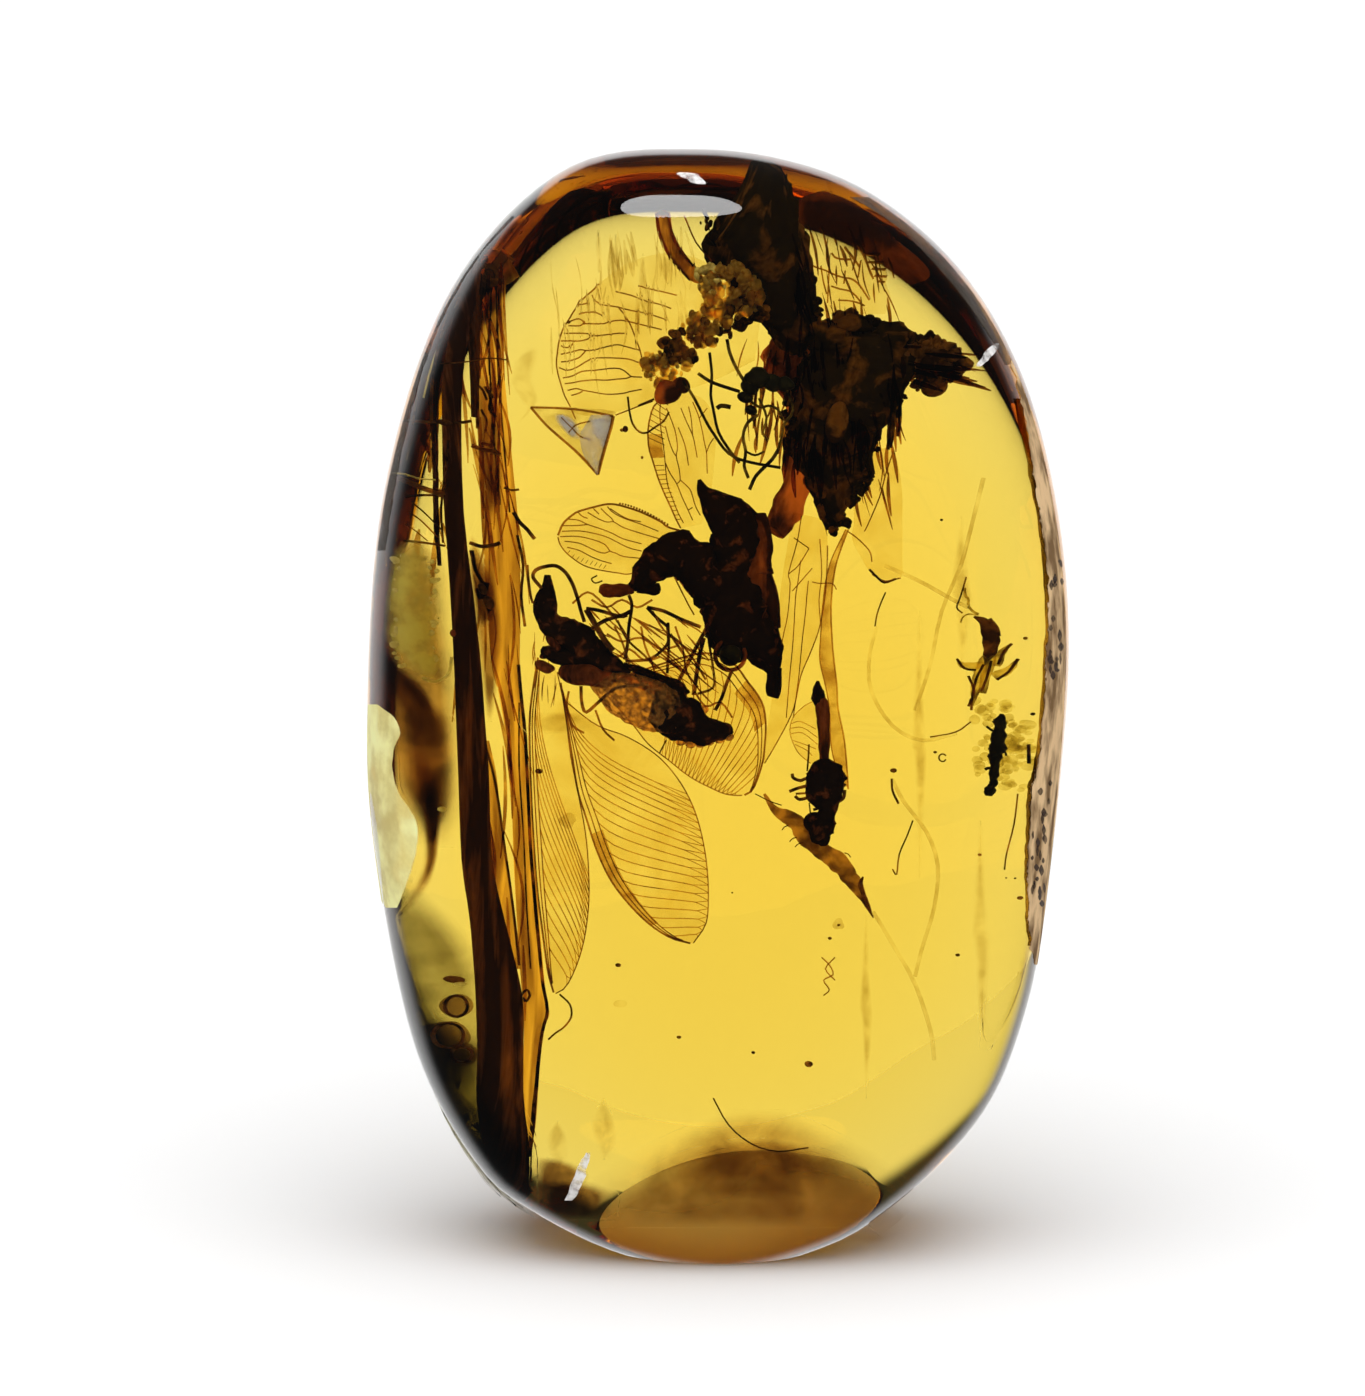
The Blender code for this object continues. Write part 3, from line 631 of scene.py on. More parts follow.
def make_looks():
    """Make the materials that the inclusions share."""
    return {
        "chitin": tissue(
            "chitin", (0.01, 0.004, 0.003), (0.3, 0.08, 0.025), 2.4, edge=(0.56, 0.84), clear=(0.0, 0.7)),
        "belly": tissue(
            "belly", (0.22, 0.08, 0.03), (0.85, 0.47, 0.24), 6.0, edge=(0.34, 0.6), clear=(0.3, 0.95)),
        "rust": tissue(
            "rust", (0.03, 0.008, 0.004), (0.55, 0.14, 0.05), 1.3, (1, 1, 3), edge=(0.42, 0.66),
            clear=(0.0, 0.8)),
        "vein": veil("vein", (0.1, 0.035, 0.006), (0.4, 0.19, 0.05), 1.2),
        "pale_vein": veil("pale_vein", (0.3, 0.14, 0.03), (0.65, 0.42, 0.16), 1.5),
        "leg": tissue(
            "leg", (0.015, 0.006, 0.002), (0.35, 0.14, 0.03), 1.6, edge=(0.42, 0.68), clear=(0.2, 0.95)),
        "wing": veil("wing", (0.86, 0.76, 0.5), (0.98, 0.95, 0.85), 0.8),
        "stain": veil("stain", (0.5, 0.3, 0.1), (0.85, 0.68, 0.38), 2.0),
        "ant_leg": tissue(
            "ant_leg", (0.01, 0.009, 0.004), (0.3, 0.2, 0.06), 1.2, edge=(0.48, 0.72), clear=(0.1, 0.9)),
        "black": mottled("black", (0.003, 0.003, 0.003), (0.02, 0.016, 0.006), 1.5, edge=(0.5, 0.8)),
    }


def add_piece(name, mesh, slot, *nodes):
    """Add a piece that rides on the pebble and stands for the named nodes."""
    piece = bpy.data.objects.new(name, mesh)
    bpy.context.scene.collection.objects.link(piece)
    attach(piece, "root")
    if nodes:
        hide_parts(*nodes)
    return piece


def dress(name, slot, looks, **shapes):
    """Make a piece of each shape, with its look, in place of the node of that name."""
    for part, (shape, look) in shapes.items():
        piece = f"{name}_{part}"
        add_piece(piece, shape.mesh(piece, looks[look]), slot, name)


def trim(shape, point, outward):
    """Cut a closed bmesh with a plane and cap the cut."""
    parts = shape.verts[:] + shape.edges[:] + shape.faces[:]
    cut = bmesh.ops.bisect_plane(
        shape, geom=parts, dist=1e-8, plane_co=point, plane_no=outward, clear_outer=True
    )
    outline = [part for part in cut["geom_cut"] if isinstance(part, bmesh.types.BMEdge)]
    bmesh.ops.contextual_create(shape, geom=outline)


def facet_normal():
    """Give the outward normal of the flat on the back."""
    level = math.cos(FACET_DOWN)
    return Vector((level * math.sin(FACET_ASIDE), level * math.cos(FACET_ASIDE), -math.sin(FACET_DOWN)))


def amber_pebble():
    """The whole clear pebble in one piece, in place of its two halves."""
    shape = bmesh.new()
    turn = Matrix.Rotation(math.pi / 2, 4, "X")
    bmesh.ops.create_uvsphere(shape, u_segments=SEGMENTS, v_segments=RINGS, radius=1.0, matrix=turn)
    places = pebble_points([vertex.co for vertex in shape.verts])
    for vertex, place in zip(shape.verts, places):
        place[2] = CENTRE_UP + (place[2] - CENTRE_UP) * SHRINK
        vertex.co = Vector((place[0] * SHRINK, place[1] * SHRINK, place[2])) * MM
    trim(shape, Vector((0, 0, 0)), Vector((0, 0, -1)))
    trim(shape, FACET_PLACE * MM, facet_normal())
    bmesh.ops.recalc_face_normals(shape, faces=shape.faces)
    mesh = bpy.data.meshes.new("amber")
    shape.to_mesh(mesh)
    shape.free()
    mesh.shade_smooth()
    mesh.set_sharp_from_angle(angle=FACET_EDGE)
    mesh.materials.append(amber_material("amber", 0.0))
    mesh.materials.append(amber_material("amber_ground", GROUND_ROUGHNESS))
    for face in mesh.polygons:
        face.material_index = int(face.normal.dot(facet_normal()) > SAME_WAY)
    return add_piece("amber", mesh, "amber", "amber_front", "amber_back")


def floor_and_light():
    """Pale floor, soft overhead light and a dim surround."""
    bpy.ops.mesh.primitive_plane_add(size=FLOOR_SIZE)
    floor = bpy.context.object
    floor.name = "floor"
    white, _, _ = new_material("floor", FLOOR_TONE, 0.9)
    floor.data.materials.append(white)
    floor.visible_glossy = False
    overhead = sun("overhead", SUN_POWER, SUN_ANGLE, SUN_TILT)
    overhead.visible_glossy = False
    overhead.visible_transmission = False
    glow = sun("glow", GLOW_POWER, GLOW_ANGLE, GLOW_TILT)
    glow.visible_glossy = False
    shine = sun("shine", SHINE_POWER, SHINE_ANGLE, SHINE_TILT)
    shine.visible_diffuse = False
    shine.visible_transmission = False
    bpy.context.scene.world = surround()


def sun(name, power, angle, tilt=(0, 0)):
    """Add a soft light overhead, tilted towards the front and the right."""
    lamp = bpy.data.lights.new(name, "SUN")
    lamp.energy = power
    lamp.angle = math.radians(angle)
    made = bpy.data.objects.new(name, lamp)
    made.location = (0, 0, 0.3)
    made.rotation_euler = (math.radians(tilt[0]), math.radians(tilt[1]), 0)
    bpy.context.scene.collection.objects.link(made)
    return made


def surround():
    """Studio surround: a pale backdrop low behind the object and dim walls elsewhere."""
    world = bpy.data.worlds.new("surround")
    world.use_nodes = True
    tree = world.node_tree
    way = tree.nodes.new("ShaderNodeTexCoord").outputs["Generated"]
    split = tree.nodes.new("ShaderNodeSeparateXYZ")
    tree.links.new(way, split.inputs[0])
    low = ramp_between(tree, split.outputs["Z"], BACKDROP_FULL, BACKDROP_END, 1.0, 0.0)
    behind = ramp_between(tree, split.outputs["Y"], BACKDROP_SIDE, BACKDROP_WIDE, 0.0, 1.0)
    glow = ramp_between(tree, multiply(tree, low, behind), 0.0, 1.0, WORLD_POWER, BACKDROP_POWER)
    tree.links.new(glow, tree.nodes["Background"].inputs["Strength"])
    tree.nodes["Background"].inputs["Color"].default_value = (1, 1, 1, 1)
    return world


def camera():
    """Camera at the photograph's angle, looking slightly down at the front."""
    back = Vector((0.0, -math.cos(EYE_UP), math.sin(EYE_UP)))
    lens = bpy.data.cameras.new("camera")
    lens.sensor_width = SENSOR
    lens.lens = SENSOR * EYE_FAR / FRAME_HIGH
    lens.clip_start = 0.01
    lens.clip_end = 20.0
    eye = bpy.data.objects.new("camera", lens)
    eye.location = (AIM + back * EYE_FAR) * MM
    eye.rotation_euler = (-back).to_track_quat("-Z", "Y").to_euler()
    bpy.context.scene.collection.objects.link(eye)
    bpy.context.scene.camera = eye


def render_depth():
    """Let light pass through all the clear layers."""
    scene = bpy.context.scene
    scene.view_settings.view_transform = "Standard"
    scene.cycles.max_bounces = BOUNCES
    scene.cycles.transmission_bounces = BOUNCES
    scene.cycles.glossy_bounces = BOUNCES // 2
    scene.cycles.transparent_max_bounces = CLEAR_LAYERS


def left_trunk(deep):
    """Head, chest and mottled belly of the lacewing at the left."""
    body, belly, rust = Shape(), Shape(), Shape()
    body.limb(deep, [
        (-4.45, 17.95, 0.08), (-4.46, 17.65, 0.15), (-4.48, 17.4, 0.25), (-4.5, 17.14, 0.3),
        (-4.47, 16.86, 0.29), (-4.29, 16.62, 0.32), (-3.96, 16.43, 0.37), (-3.63, 16.25, 0.42),
        (-3.4, 16.0, 0.44), (-3.11, 15.78, 0.36), (-2.74, 15.59, 0.24), (-2.3, 15.35, 0.12),
    ], sides=14, rough=0.22)
    body.lump((-3.82, 15.82, deep), (0.8, 0.3, 0.27), 0.1, rough=0.3, grain=3.0)
    body.lump((-4.5, 15.85, deep), (0.18, 0.1, 0.1), -0.4)
    body.limb(deep, [
        (-2.46, 15.6, 0.07), (-2.0, 15.42, 0.12), (-1.5, 15.2, 0.15), (-1.1, 15.0, 0.22),
        (-0.95, 14.75, 0.25),
    ], rough=0.25)
    body.limb(deep, [
        (-1.72, 14.5, 0.42), (-1.33, 14.4, 0.6), (-0.86, 14.13, 0.56), (-0.39, 13.9, 0.42),
        (-0.02, 13.88, 0.3), (0.27, 13.85, 0.2), (0.41, 13.78, 0.05),
    ], sides=16, rough=0.3, grain=2.6)
    rust.lump((-3.54, 15.35, deep - 0.05), (0.6, 0.4, 0.32), 0.2)
    rust.lump((-3.0, 15.25, deep), (0.35, 0.3, 0.24), -0.4)
    rust.lump((-4.3, 16.15, deep - 0.1), (0.28, 0.2, 0.14), 0.9, rough=0.5)
    rust.lump((-4.5, 15.55, deep), (0.24, 0.15, 0.16), 0.4, rough=0.5, grain=4.0)
    belly.limb(deep, [
        (-3.25, 15.2, 0.2), (-2.74, 14.98, 0.5), (-2.27, 14.74, 0.64), (-1.8, 14.56, 0.68),
        (-1.33, 14.4, 0.64), (-0.95, 14.2, 0.5),
    ], sides=18, rough=0.1)
    belly.limb(deep, [
        (-2.7, 15.35, 0.14), (-2.0, 15.15, 0.2), (-1.45, 14.95, 0.2), (-1.2, 14.8, 0.12),
    ])
    belly.lump((-0.36, 14.42, deep), (0.16, 0.12, 0.12))
    for across, up in (
        (-0.95, 13.56), (-0.7, 13.5), (-0.44, 13.52), (-0.2, 13.56), (0.05, 13.62), (0.3, 13.7),
    ):
        belly.lump((across, up, deep), (0.13, 0.12, 0.1))
    return body, belly, rust


def left_legs(deep):
    """Curled feelers and thin legs of the lacewing at the left."""
    legs = Shape()
    feelers = (
        ((-4.6, 17.6), (-4.83, 17.89), (-4.76, 18.08), (-4.52, 18.17), (-4.24, 18.19), (-4.0, 18.03),
         (-3.82, 17.75), (-3.68, 17.37), (-3.58, 17.0), (-3.49, 16.72)),
        ((-4.99, 18.22), (-4.94, 17.65), (-4.85, 17.23), (-4.71, 17.28)),
    )
    for feeler, radius in zip(feelers, (0.05, 0.035)):
        legs.line(feeler, deep - 0.15, radius)
    strides = (
        (0.08, (-3.44, 17.04), (-3.16, 16.57), (-2.97, 16.25), (-2.74, 15.96)),
        (0.05, (-3.44, 17.07), (-3.11, 17.02), (-2.55, 16.86), (-2.36, 16.9)),
        (0.055, (-3.3, 16.53), (-2.93, 16.76), (-2.46, 16.9), (-2.27, 17.0)),
        (0.045, (-2.32, 17.42), (-2.24, 17.14), (-2.32, 16.62), (-2.36, 16.1), (-2.43, 15.73)),
        (0.04, (-2.41, 15.68), (-1.75, 15.75), (-1.33, 16.1), (-1.28, 16.34), (-1.31, 16.67)),
        (0.045, (-3.58, 15.03), (-3.56, 14.6), (-3.44, 14.34), (-3.07, 14.65), (-2.64, 14.98),
         (-1.94, 15.07)), (0.03, (-2.17, 15.35), (-1.89, 14.98), (-1.52, 14.6)),
        (0.02, (-1.33, 13.62), (-1.52, 13.26)),
    )
    legs.lines(deep - 0.2, strides)
    return legs


def left_hairs(deep):
    """Fine hairs among the legs of the lacewing at the left."""
    hairs = Shape()
    for places in (
        ((-3.3, 17.3), (-2.9, 17.1), (-2.5, 17.3), (-2.1, 17.1), (-1.7, 17.3)),
        ((-2.9, 16.4), (-2.5, 16.2), (-2.0, 16.3), (-1.5, 16.0), (-1.0, 16.1)),
        ((-3.0, 16.0), (-2.6, 15.8), (-2.3, 16.0), (-1.9, 15.7), (-1.5, 15.8)),
        ((-2.7, 16.6), (-2.5, 16.2), (-2.3, 15.6)),
        ((-2.0, 16.6), (-1.9, 16.1), (-1.7, 15.6), (-1.6, 15.2)),
        ((-1.1, 16.6), (-0.9, 16.0), (-0.8, 15.4), (-0.5, 15.0)),
        ((-3.9, 14.9), (-3.95, 14.5), (-3.8, 14.0), (-3.5, 13.8)),
        ((-3.2, 14.4), (-3.0, 13.9), (-2.7, 13.6)),
        ((-0.6, 14.9), (-0.3, 14.5), (0.1, 14.6), (0.4, 14.2)),
        ((-3.8, 17.2), (-3.4, 17.5), (-3.0, 17.2), (-2.6, 16.7), (-2.3, 16.2)),
        ((-1.7, 17.0), (-1.4, 16.5), (-1.0, 16.2), (-0.6, 15.7), (-0.3, 15.2)),
    ):
        hairs.line(places, deep - 0.2, 0.03)
    fibres(hairs, 40, (-3.4, -0.6), (14.9, 17.2), 0.9, (0.4, 1.3), deep - 0.1, (0.012, 0.035), 51)
    fibres(hairs, 16, (-4.9, -4.2), (15.0, 17.0), 0.0, (0.3, 0.8), deep - 0.1, (0.01, 0.025), 52)
    return hairs


def left_wings(deep):
    """Three spread wings of the lacewing at the left, with their veins and stains."""
    skin, veins, pale, stain = Shape(), Shape(), Shape(), Shape()
    left = Wing(
        ((-4.71, 15.78), (-4.82, 15.1), (-4.92, 14.3), (-4.93, 13.5), (-4.9, 12.5), (-4.86, 11.6),
         (-4.8, 10.6), (-4.72, 9.6), (-4.57, 8.4), (-4.44, 7.5), (-4.3, 6.98)),
        ((-4.2, 15.4), (-4.0, 14.4), (-3.85, 13.2), (-3.65, 12.2), (-3.45, 11.1), (-3.37, 10.0),
         (-3.38, 9.2), (-3.5, 8.34), (-3.7, 7.67), (-3.97, 7.13), (-4.24, 6.95)),
        deep, -2.0,
    )
    middle = Wing(
        ((-4.11, 15.12), (-3.97, 14.21), (-3.8, 13.12), (-3.66, 12.27), (-3.43, 11.53), (-3.17, 10.73),
         (-2.83, 9.99), (-2.37, 9.36), (-1.8, 8.79), (-1.23, 8.42), (-0.7, 8.27)),
        ((-3.95, 14.6), (-3.17, 14.01), (-2.37, 13.7), (-1.57, 13.2), (-1.0, 12.55), (-0.61, 11.81),
         (-0.38, 11.01), (-0.26, 10.22), (-0.23, 9.47), (-0.29, 8.79), (-0.62, 8.28)),
        deep, -3.1,
    )
    right = Wing(
        ((-2.9, 15.1), (-1.5, 15.6), (-0.3, 15.9), (0.4, 15.65), (0.82, 15.12), (1.05, 14.83),
         (1.22, 14.49), (1.28, 14.0), (1.25, 13.45), (1.19, 13.0), (0.95, 12.33), (0.72, 12.17)),
        ((-2.9, 14.8), (-2.2, 14.0), (-1.8, 13.5), (-1.23, 13.05), (-0.9, 12.78), (-0.55, 12.55),
         (-0.15, 12.35), (0.2, 12.2), (0.48, 12.16), (0.66, 12.16)),
        deep, -1.9,
    )
    for wing in (left, middle, right):
        wing.membrane(skin)
        wing.border(veins)
    left.comb(pale, 15, 0.03, 0.86, 0.62, 0.14)
    middle.comb(pale, 19, 0.02, 0.93, 0.5, 0.1)
    right.comb(pale, 20, 0.06, 0.9, 0.45, 0.12)
    run = np.linspace(0.02, 0.97, 36)
    for wing, asides in ((left, (0.07, 0.14)), (middle, (0.05, 0.1)), (right, (0.06, 0.12))):
        for aside in asides:
            wing.vein(veins, run, np.full(36, aside), VEIN)
    middle.patch(stain, (0.5, 0.86), (0.01, 0.12))
    right.patch(stain, (0.55, 0.72), (0.0, 0.16))
    return skin, veins, pale, stain


def lacewing_left(looks):
    """Dark lacewing with curled feelers, a long mottled belly and three spread wings."""
    deep = -2.6
    body, belly, rust = left_trunk(deep)
    legs, hairs = left_legs(deep), left_hairs(deep)
    skin, veins, pale, stain = left_wings(deep)
    dress("lacewing_left", "insect", looks,
        body=(body, "chitin"), legs=(legs, "leg"), belly=(belly, "belly"), chest=(rust, "rust"),
        wings=(skin, "wing"), veins=(veins, "vein"), branches=(pale, "pale_vein"),
        stains=(stain, "stain"), hairs=(hairs, "vein"),
    )


def centre_trunk(deep):
    """Body, crooked arm, beak and ringed eye of the central lacewing."""
    body, rust, eye = Shape(), Shape(), Shape()
    body.limb(deep, [
        (-0.47, 20.46, 0.04), (-0.35, 20.15, 0.18), (-0.1, 19.86, 0.37), (0.3, 19.45, 0.58),
        (0.5, 19.15, 0.66), (0.5, 18.73, 0.62), (0.48, 18.3, 0.58), (0.4, 17.9, 0.7), (0.4, 17.47, 0.74),
        (0.42, 17.05, 0.84), (0.5, 16.7, 0.86), (0.74, 16.42, 0.88), (1.16, 16.13, 0.58),
        (1.33, 15.8, 0.42), (1.48, 15.45, 0.2),
    ], sides=18, rough=0.18)
    body.limb(deep, [
        (1.5, 15.5, 0.2), (1.5, 15.16, 0.21), (1.48, 14.8, 0.17), (1.47, 14.74, 0.12),
    ], sides=10, rough=0.15)
    body.limb(deep, [
        (0.1, 17.5, 0.7), (-0.35, 18.05, 0.6), (-0.7, 18.35, 0.56), (-1.1, 18.45, 0.56),
        (-1.42, 18.36, 0.5), (-1.8, 18.08, 0.36), (-2.03, 17.8, 0.25), (-2.25, 17.62, 0.14),
    ], sides=16, rough=0.28)
    rust.tube([
        (-2.2, 17.6, deep - 0.02, 0.12), (-2.5, 17.55, deep, 0.17), (-2.75, 17.54, deep, 0.18),
        (-2.95, 17.56, deep, 0.17), (-3.1, 17.58, deep, 0.08),
    ], rough=0.25)
    body.limb(deep, [
        (-2.1, 17.6, 0.12), (-1.8, 17.56, 0.13), (-1.6, 17.56, 0.12), (-1.58, 17.74, 0.06),
    ], rough=0.2)
    rust.limb(deep, [
        (1.08, 19.56, 0.2), (1.12, 19.15, 0.28), (1.16, 18.73, 0.3), (1.08, 18.3, 0.38),
        (1.0, 17.97, 0.5), (1.29, 17.64, 0.26), (1.41, 17.26, 0.23), (1.5, 16.85, 0.17),
        (1.54, 16.55, 0.12),
    ], sides=12, rough=0.15)
    eye.lump((0.345, 15.85, deep - 0.75), (0.29, 0.24, 0.29), rough=0.05)
    rust.line(oval(0.345, 15.85, 0.4, 0.4, np.linspace(0, 6.28, 19)), deep - 0.7, 0.06)
    rust.tube([(-0.98, 17.8, 0.0, 0.02), (-0.65, 17.5, 0.0, 0.1), (-0.35, 17.17, 0.0, 0.03)])
    return body, rust, eye


def centre_legs(deep):
    """Thin legs of the central lacewing."""
    legs = Shape()
    strides = (
        (0.05, (-1.84, 17.1), (-1.4, 17.0), (-0.98, 16.8), (-0.43, 16.58)),
        (0.045, (-1.84, 17.1), (-1.6, 16.84), (-1.29, 16.59)),
        (0.04, (-1.29, 16.7), (-1.27, 16.17), (-1.31, 15.37)),
        (0.055, (-0.22, 16.67), (-0.51, 16.13), (-1.02, 15.16)),
        (0.06, (-0.35, 16.3), (-0.47, 15.8), (-0.62, 14.8)),
        (0.05, (0.37, 15.4), (0.24, 15.08), (0.11, 14.7), (-0.05, 14.4)),
        (0.035, (-0.22, 16.2), (-0.1, 15.45), (-0.1, 15.0), (-0.51, 14.83)),
        (0.04, (-1.23, 16.4), (-0.8, 15.75)), (0.02, (-1.12, 17.9), (-0.77, 17.2), (-0.6, 16.9)),
        (0.03, (-2.62, 16.76), (-2.36, 16.25), (-1.89, 15.82), (-1.61, 15.49)),
    )
    legs.lines(deep - 0.5, strides)
    return legs


def centre_wings():
    """Three wings of the central lacewing, with their borders, rungs and stain."""
    skin, veins, stain = Shape(), Shape(), Shape()
    west = Wing(
        ((-0.9, 19.1), (-1.3, 19.22), (-1.47, 19.35), (-1.98, 19.6), (-2.53, 19.78), (-2.84, 19.82),
         (-3.12, 19.77), (-3.63, 19.63), (-3.84, 19.5), (-4.05, 19.3), (-4.18, 19.0)),
        ((-0.9, 18.4), (-2.19, 18.0), (-2.6, 18.01), (-2.95, 18.06), (-3.25, 18.12), (-3.53, 18.22),
         (-3.8, 18.4), (-4.0, 18.58), (-4.13, 18.77), (-4.18, 18.95)),
        0.2, 0.5,
    )
    north = Wing(
        ((-0.95, 19.18), (-1.09, 19.45), (-1.23, 19.77), (-1.4, 20.14), (-1.54, 20.49), (-1.67, 20.9),
         (-1.79, 21.31), (-1.81, 21.72), (-1.76, 22.07), (-1.64, 22.41), (-1.3, 22.66), (-0.9, 22.75)),
        ((-0.4, 19.3), (-0.2, 19.9), (-0.1, 20.6), (-0.05, 21.2), (0.0, 21.7), (-0.1, 22.2),
         (-0.4, 22.6), (-0.8, 22.75)),
        0.1, 0.2, billow=0.0,
    )
    east = Wing(
        ((2.0, 19.6), (1.85, 18.7), (1.7, 17.8), (1.6, 16.8), (1.5, 15.8), (1.45, 14.8), (1.3, 13.8),
         (1.22, 13.0)),
        ((2.9, 19.4), (2.9, 18.5), (2.85, 17.5), (2.7, 16.6), (2.45, 15.9), (2.2, 15.3), (2.0, 14.4),
         (1.6, 13.6), (1.25, 13.0)),
        -0.6, -0.9, billow=0.0,
    )
    for wing in (west, north, east):
        wing.membrane(skin)
    west.border(veins)
    north.vein(veins, np.linspace(0, 1, 30), np.zeros(30), 1.3 * VEIN)
    east.vein(veins, np.linspace(0.1, 1, 30), np.ones(30), VEIN)
    north.rungs(veins, 0.06, 0.42, 13, 0.16, 0.0)
    north.rungs(veins, 0.6, 0.86, 8, 0.24, -0.05)
    north.patch(stain, (0.47, 0.62), (0.0, 0.2))
    return skin, veins, stain


def centre_veins(veins):
    """Veins drawn over the wings of the central lacewing, with beads along one edge."""
    west_lines = (
        ((-2.88, 19.75), (-2.74, 19.6), (-2.46, 19.45), (-1.98, 19.28), (-1.54, 19.1)),
        ((-3.05, 19.7), (-2.9, 19.55), (-2.78, 19.45), (-2.72, 19.35)),
        ((-3.4, 19.6), (-3.1, 19.42), (-2.88, 19.34), (-2.72, 19.35), (-2.46, 19.2), (-1.98, 19.04),
         (-1.5, 18.9)),
        ((-3.9, 19.42), (-3.63, 19.39), (-3.4, 19.28), (-3.01, 19.15), (-2.74, 19.04), (-2.46, 18.9),
         (-1.98, 18.77)), ((-4.08, 19.25), (-3.7, 19.25), (-3.4, 19.28)),
        ((-4.08, 19.1), (-3.63, 19.11), (-3.3, 19.06), (-2.95, 18.97), (-2.67, 18.84), (-2.33, 18.67),
         (-1.98, 18.58)),
        ((-4.12, 18.96), (-3.7, 18.97), (-3.33, 18.9), (-3.01, 18.79), (-2.88, 18.68), (-2.81, 18.58),
         (-2.67, 18.53), (-2.46, 18.44), (-2.0, 18.39)),
        ((-4.01, 18.84), (-3.63, 18.79), (-3.36, 18.67), (-3.12, 18.56), (-2.95, 18.53), (-2.81, 18.58)),
        ((-3.94, 18.68), (-3.63, 18.6), (-3.36, 18.46), (-3.08, 18.34), (-2.77, 18.25)),
        ((-2.81, 19.7), (-2.6, 19.56), (-2.33, 19.42), (-2.0, 19.35)),
        ((-3.65, 19.6), (-3.55, 19.5), (-3.4, 19.44)), ((-3.25, 19.7), (-3.1, 19.55)),
    )
    north_lines = (
        ((-0.88, 19.32), (-1.02, 19.59), (-1.16, 19.94), (-1.3, 20.35), (-1.36, 20.9), (-1.4, 21.31),
         (-1.47, 21.79), (-1.5, 22.2), (-1.48, 22.5)),
        ((-1.33, 22.34), (-1.19, 22.0), (-1.09, 21.69), (-1.04, 21.31), (-1.07, 21.07), (-1.0, 20.76),
         (-0.97, 20.45), (-1.06, 20.35)),
        ((-1.36, 20.9), (-1.23, 20.62), (-1.06, 20.35), (-0.92, 20.0), (-0.78, 19.7), (-0.64, 19.39)),
        ((-1.36, 21.86), (-1.26, 21.48), (-1.16, 21.21), (-1.07, 21.07)),
        ((-0.95, 22.34), (-0.81, 22.0), (-0.64, 21.62), (-0.57, 21.31), (-0.52, 21.04)),
        ((-0.75, 22.38), (-0.68, 22.07), (-0.64, 21.62)),
        ((-0.64, 22.5), (-0.5, 22.17), (-0.4, 21.79), (-0.33, 21.41), (-0.28, 21.17), (-0.26, 20.62)),
        ((-0.47, 22.07), (-0.26, 22.34)), ((-0.09, 21.55), (-0.2, 21.38), (-0.28, 21.17)),
        ((-0.97, 20.45), (-0.78, 20.28), (-0.68, 20.14), (-0.57, 19.77), (-0.44, 19.52)),
        ((-1.02, 21.83), (-0.88, 21.48), (-0.8, 21.17), (-0.75, 20.83)), ((-0.75, 19.66), (-0.64, 19.73)),
    )
    east_lines = (
        ((2.22, 19.5), (2.1, 18.8), (1.88, 18.0), (1.92, 17.73), (1.86, 16.92), (1.72, 16.25),
         (1.6, 15.3)), ((1.88, 17.98), (2.14, 18.2), (2.42, 18.65)),
        ((2.2, 18.33), (2.12, 17.73), (2.06, 17.33), (2.0, 16.25), (1.9, 15.2), (1.82, 14.2)),
        ((2.5, 18.13), (1.98, 17.53)),
        ((2.4, 17.8), (2.36, 17.4), (2.32, 16.92), (2.24, 16.25), (2.15, 15.3), (2.0, 14.2)),
        ((2.5, 17.77), (2.7, 17.73), (3.02, 17.73), (3.14, 17.57)), ((2.02, 18.93), (2.42, 18.65)),
        ((2.7, 18.9), (2.75, 18.0), (2.68, 17.3), (2.72, 16.7)),
    )
    for lines, depth in ((west_lines, 0.42), (north_lines, 0.15), (east_lines, -0.75)):
        for line in lines:
            veins.line(line, depth, 0.9 * VEIN)
    for step in range(18):
        share = step / 17
        bead = (-2.55 + 1.25 * share, 19.83 - 0.55 * share ** 1.4, 0.4)
        veins.lump(bead, (0.025, 0.02, 0.03), rings=5, turns=6)
    for step in range(9):
        share = step / 8
        veins.line(
            ((-3.93 + 0.95 * share, 18.52 - 0.4 * share ** 0.6),
             (-3.86 + 0.95 * share, 18.6 - 0.38 * share ** 0.6)),
            0.42, 0.5 * VEIN
        )


def lacewing_centre(looks):
    """Broad dark lacewing in the middle with a crooked arm, a round eye and a beaked head."""
    deep = -0.3
    body, rust, eye = centre_trunk(deep)
    legs = centre_legs(deep)
    skin, veins, stain = centre_wings()
    centre_veins(veins)
    dress("lacewing_centre", "insect", looks,
        body=(body, "chitin"), flank=(rust, "rust"), legs=(legs, "leg"), eye=(eye, "black"),
        wings=(skin, "wing"), veins=(veins, "vein"), stains=(stain, "stain"),
    )


def top_trunk(deep):
    """Rusty body of the lacewing behind the bark."""
    rust = Shape()
    rust.limb(deep, [
        (2.1, 24.6, 0.4), (2.1, 23.9, 0.75), (2.1, 23.2, 0.7), (2.2, 22.5, 0.4), (2.4, 21.6, 0.3),
    ], sides=14, rough=0.25)
    rust.tube([
        (2.05, 21.6, 0.4, 0.3), (2.1, 20.9, 0.4, 0.36), (2.05, 20.2, 0.3, 0.34), (1.8, 19.6, 0.2, 0.4),
        (1.5, 19.1, 0.0, 0.3),
    ], sides=12, rough=0.2)
    return rust


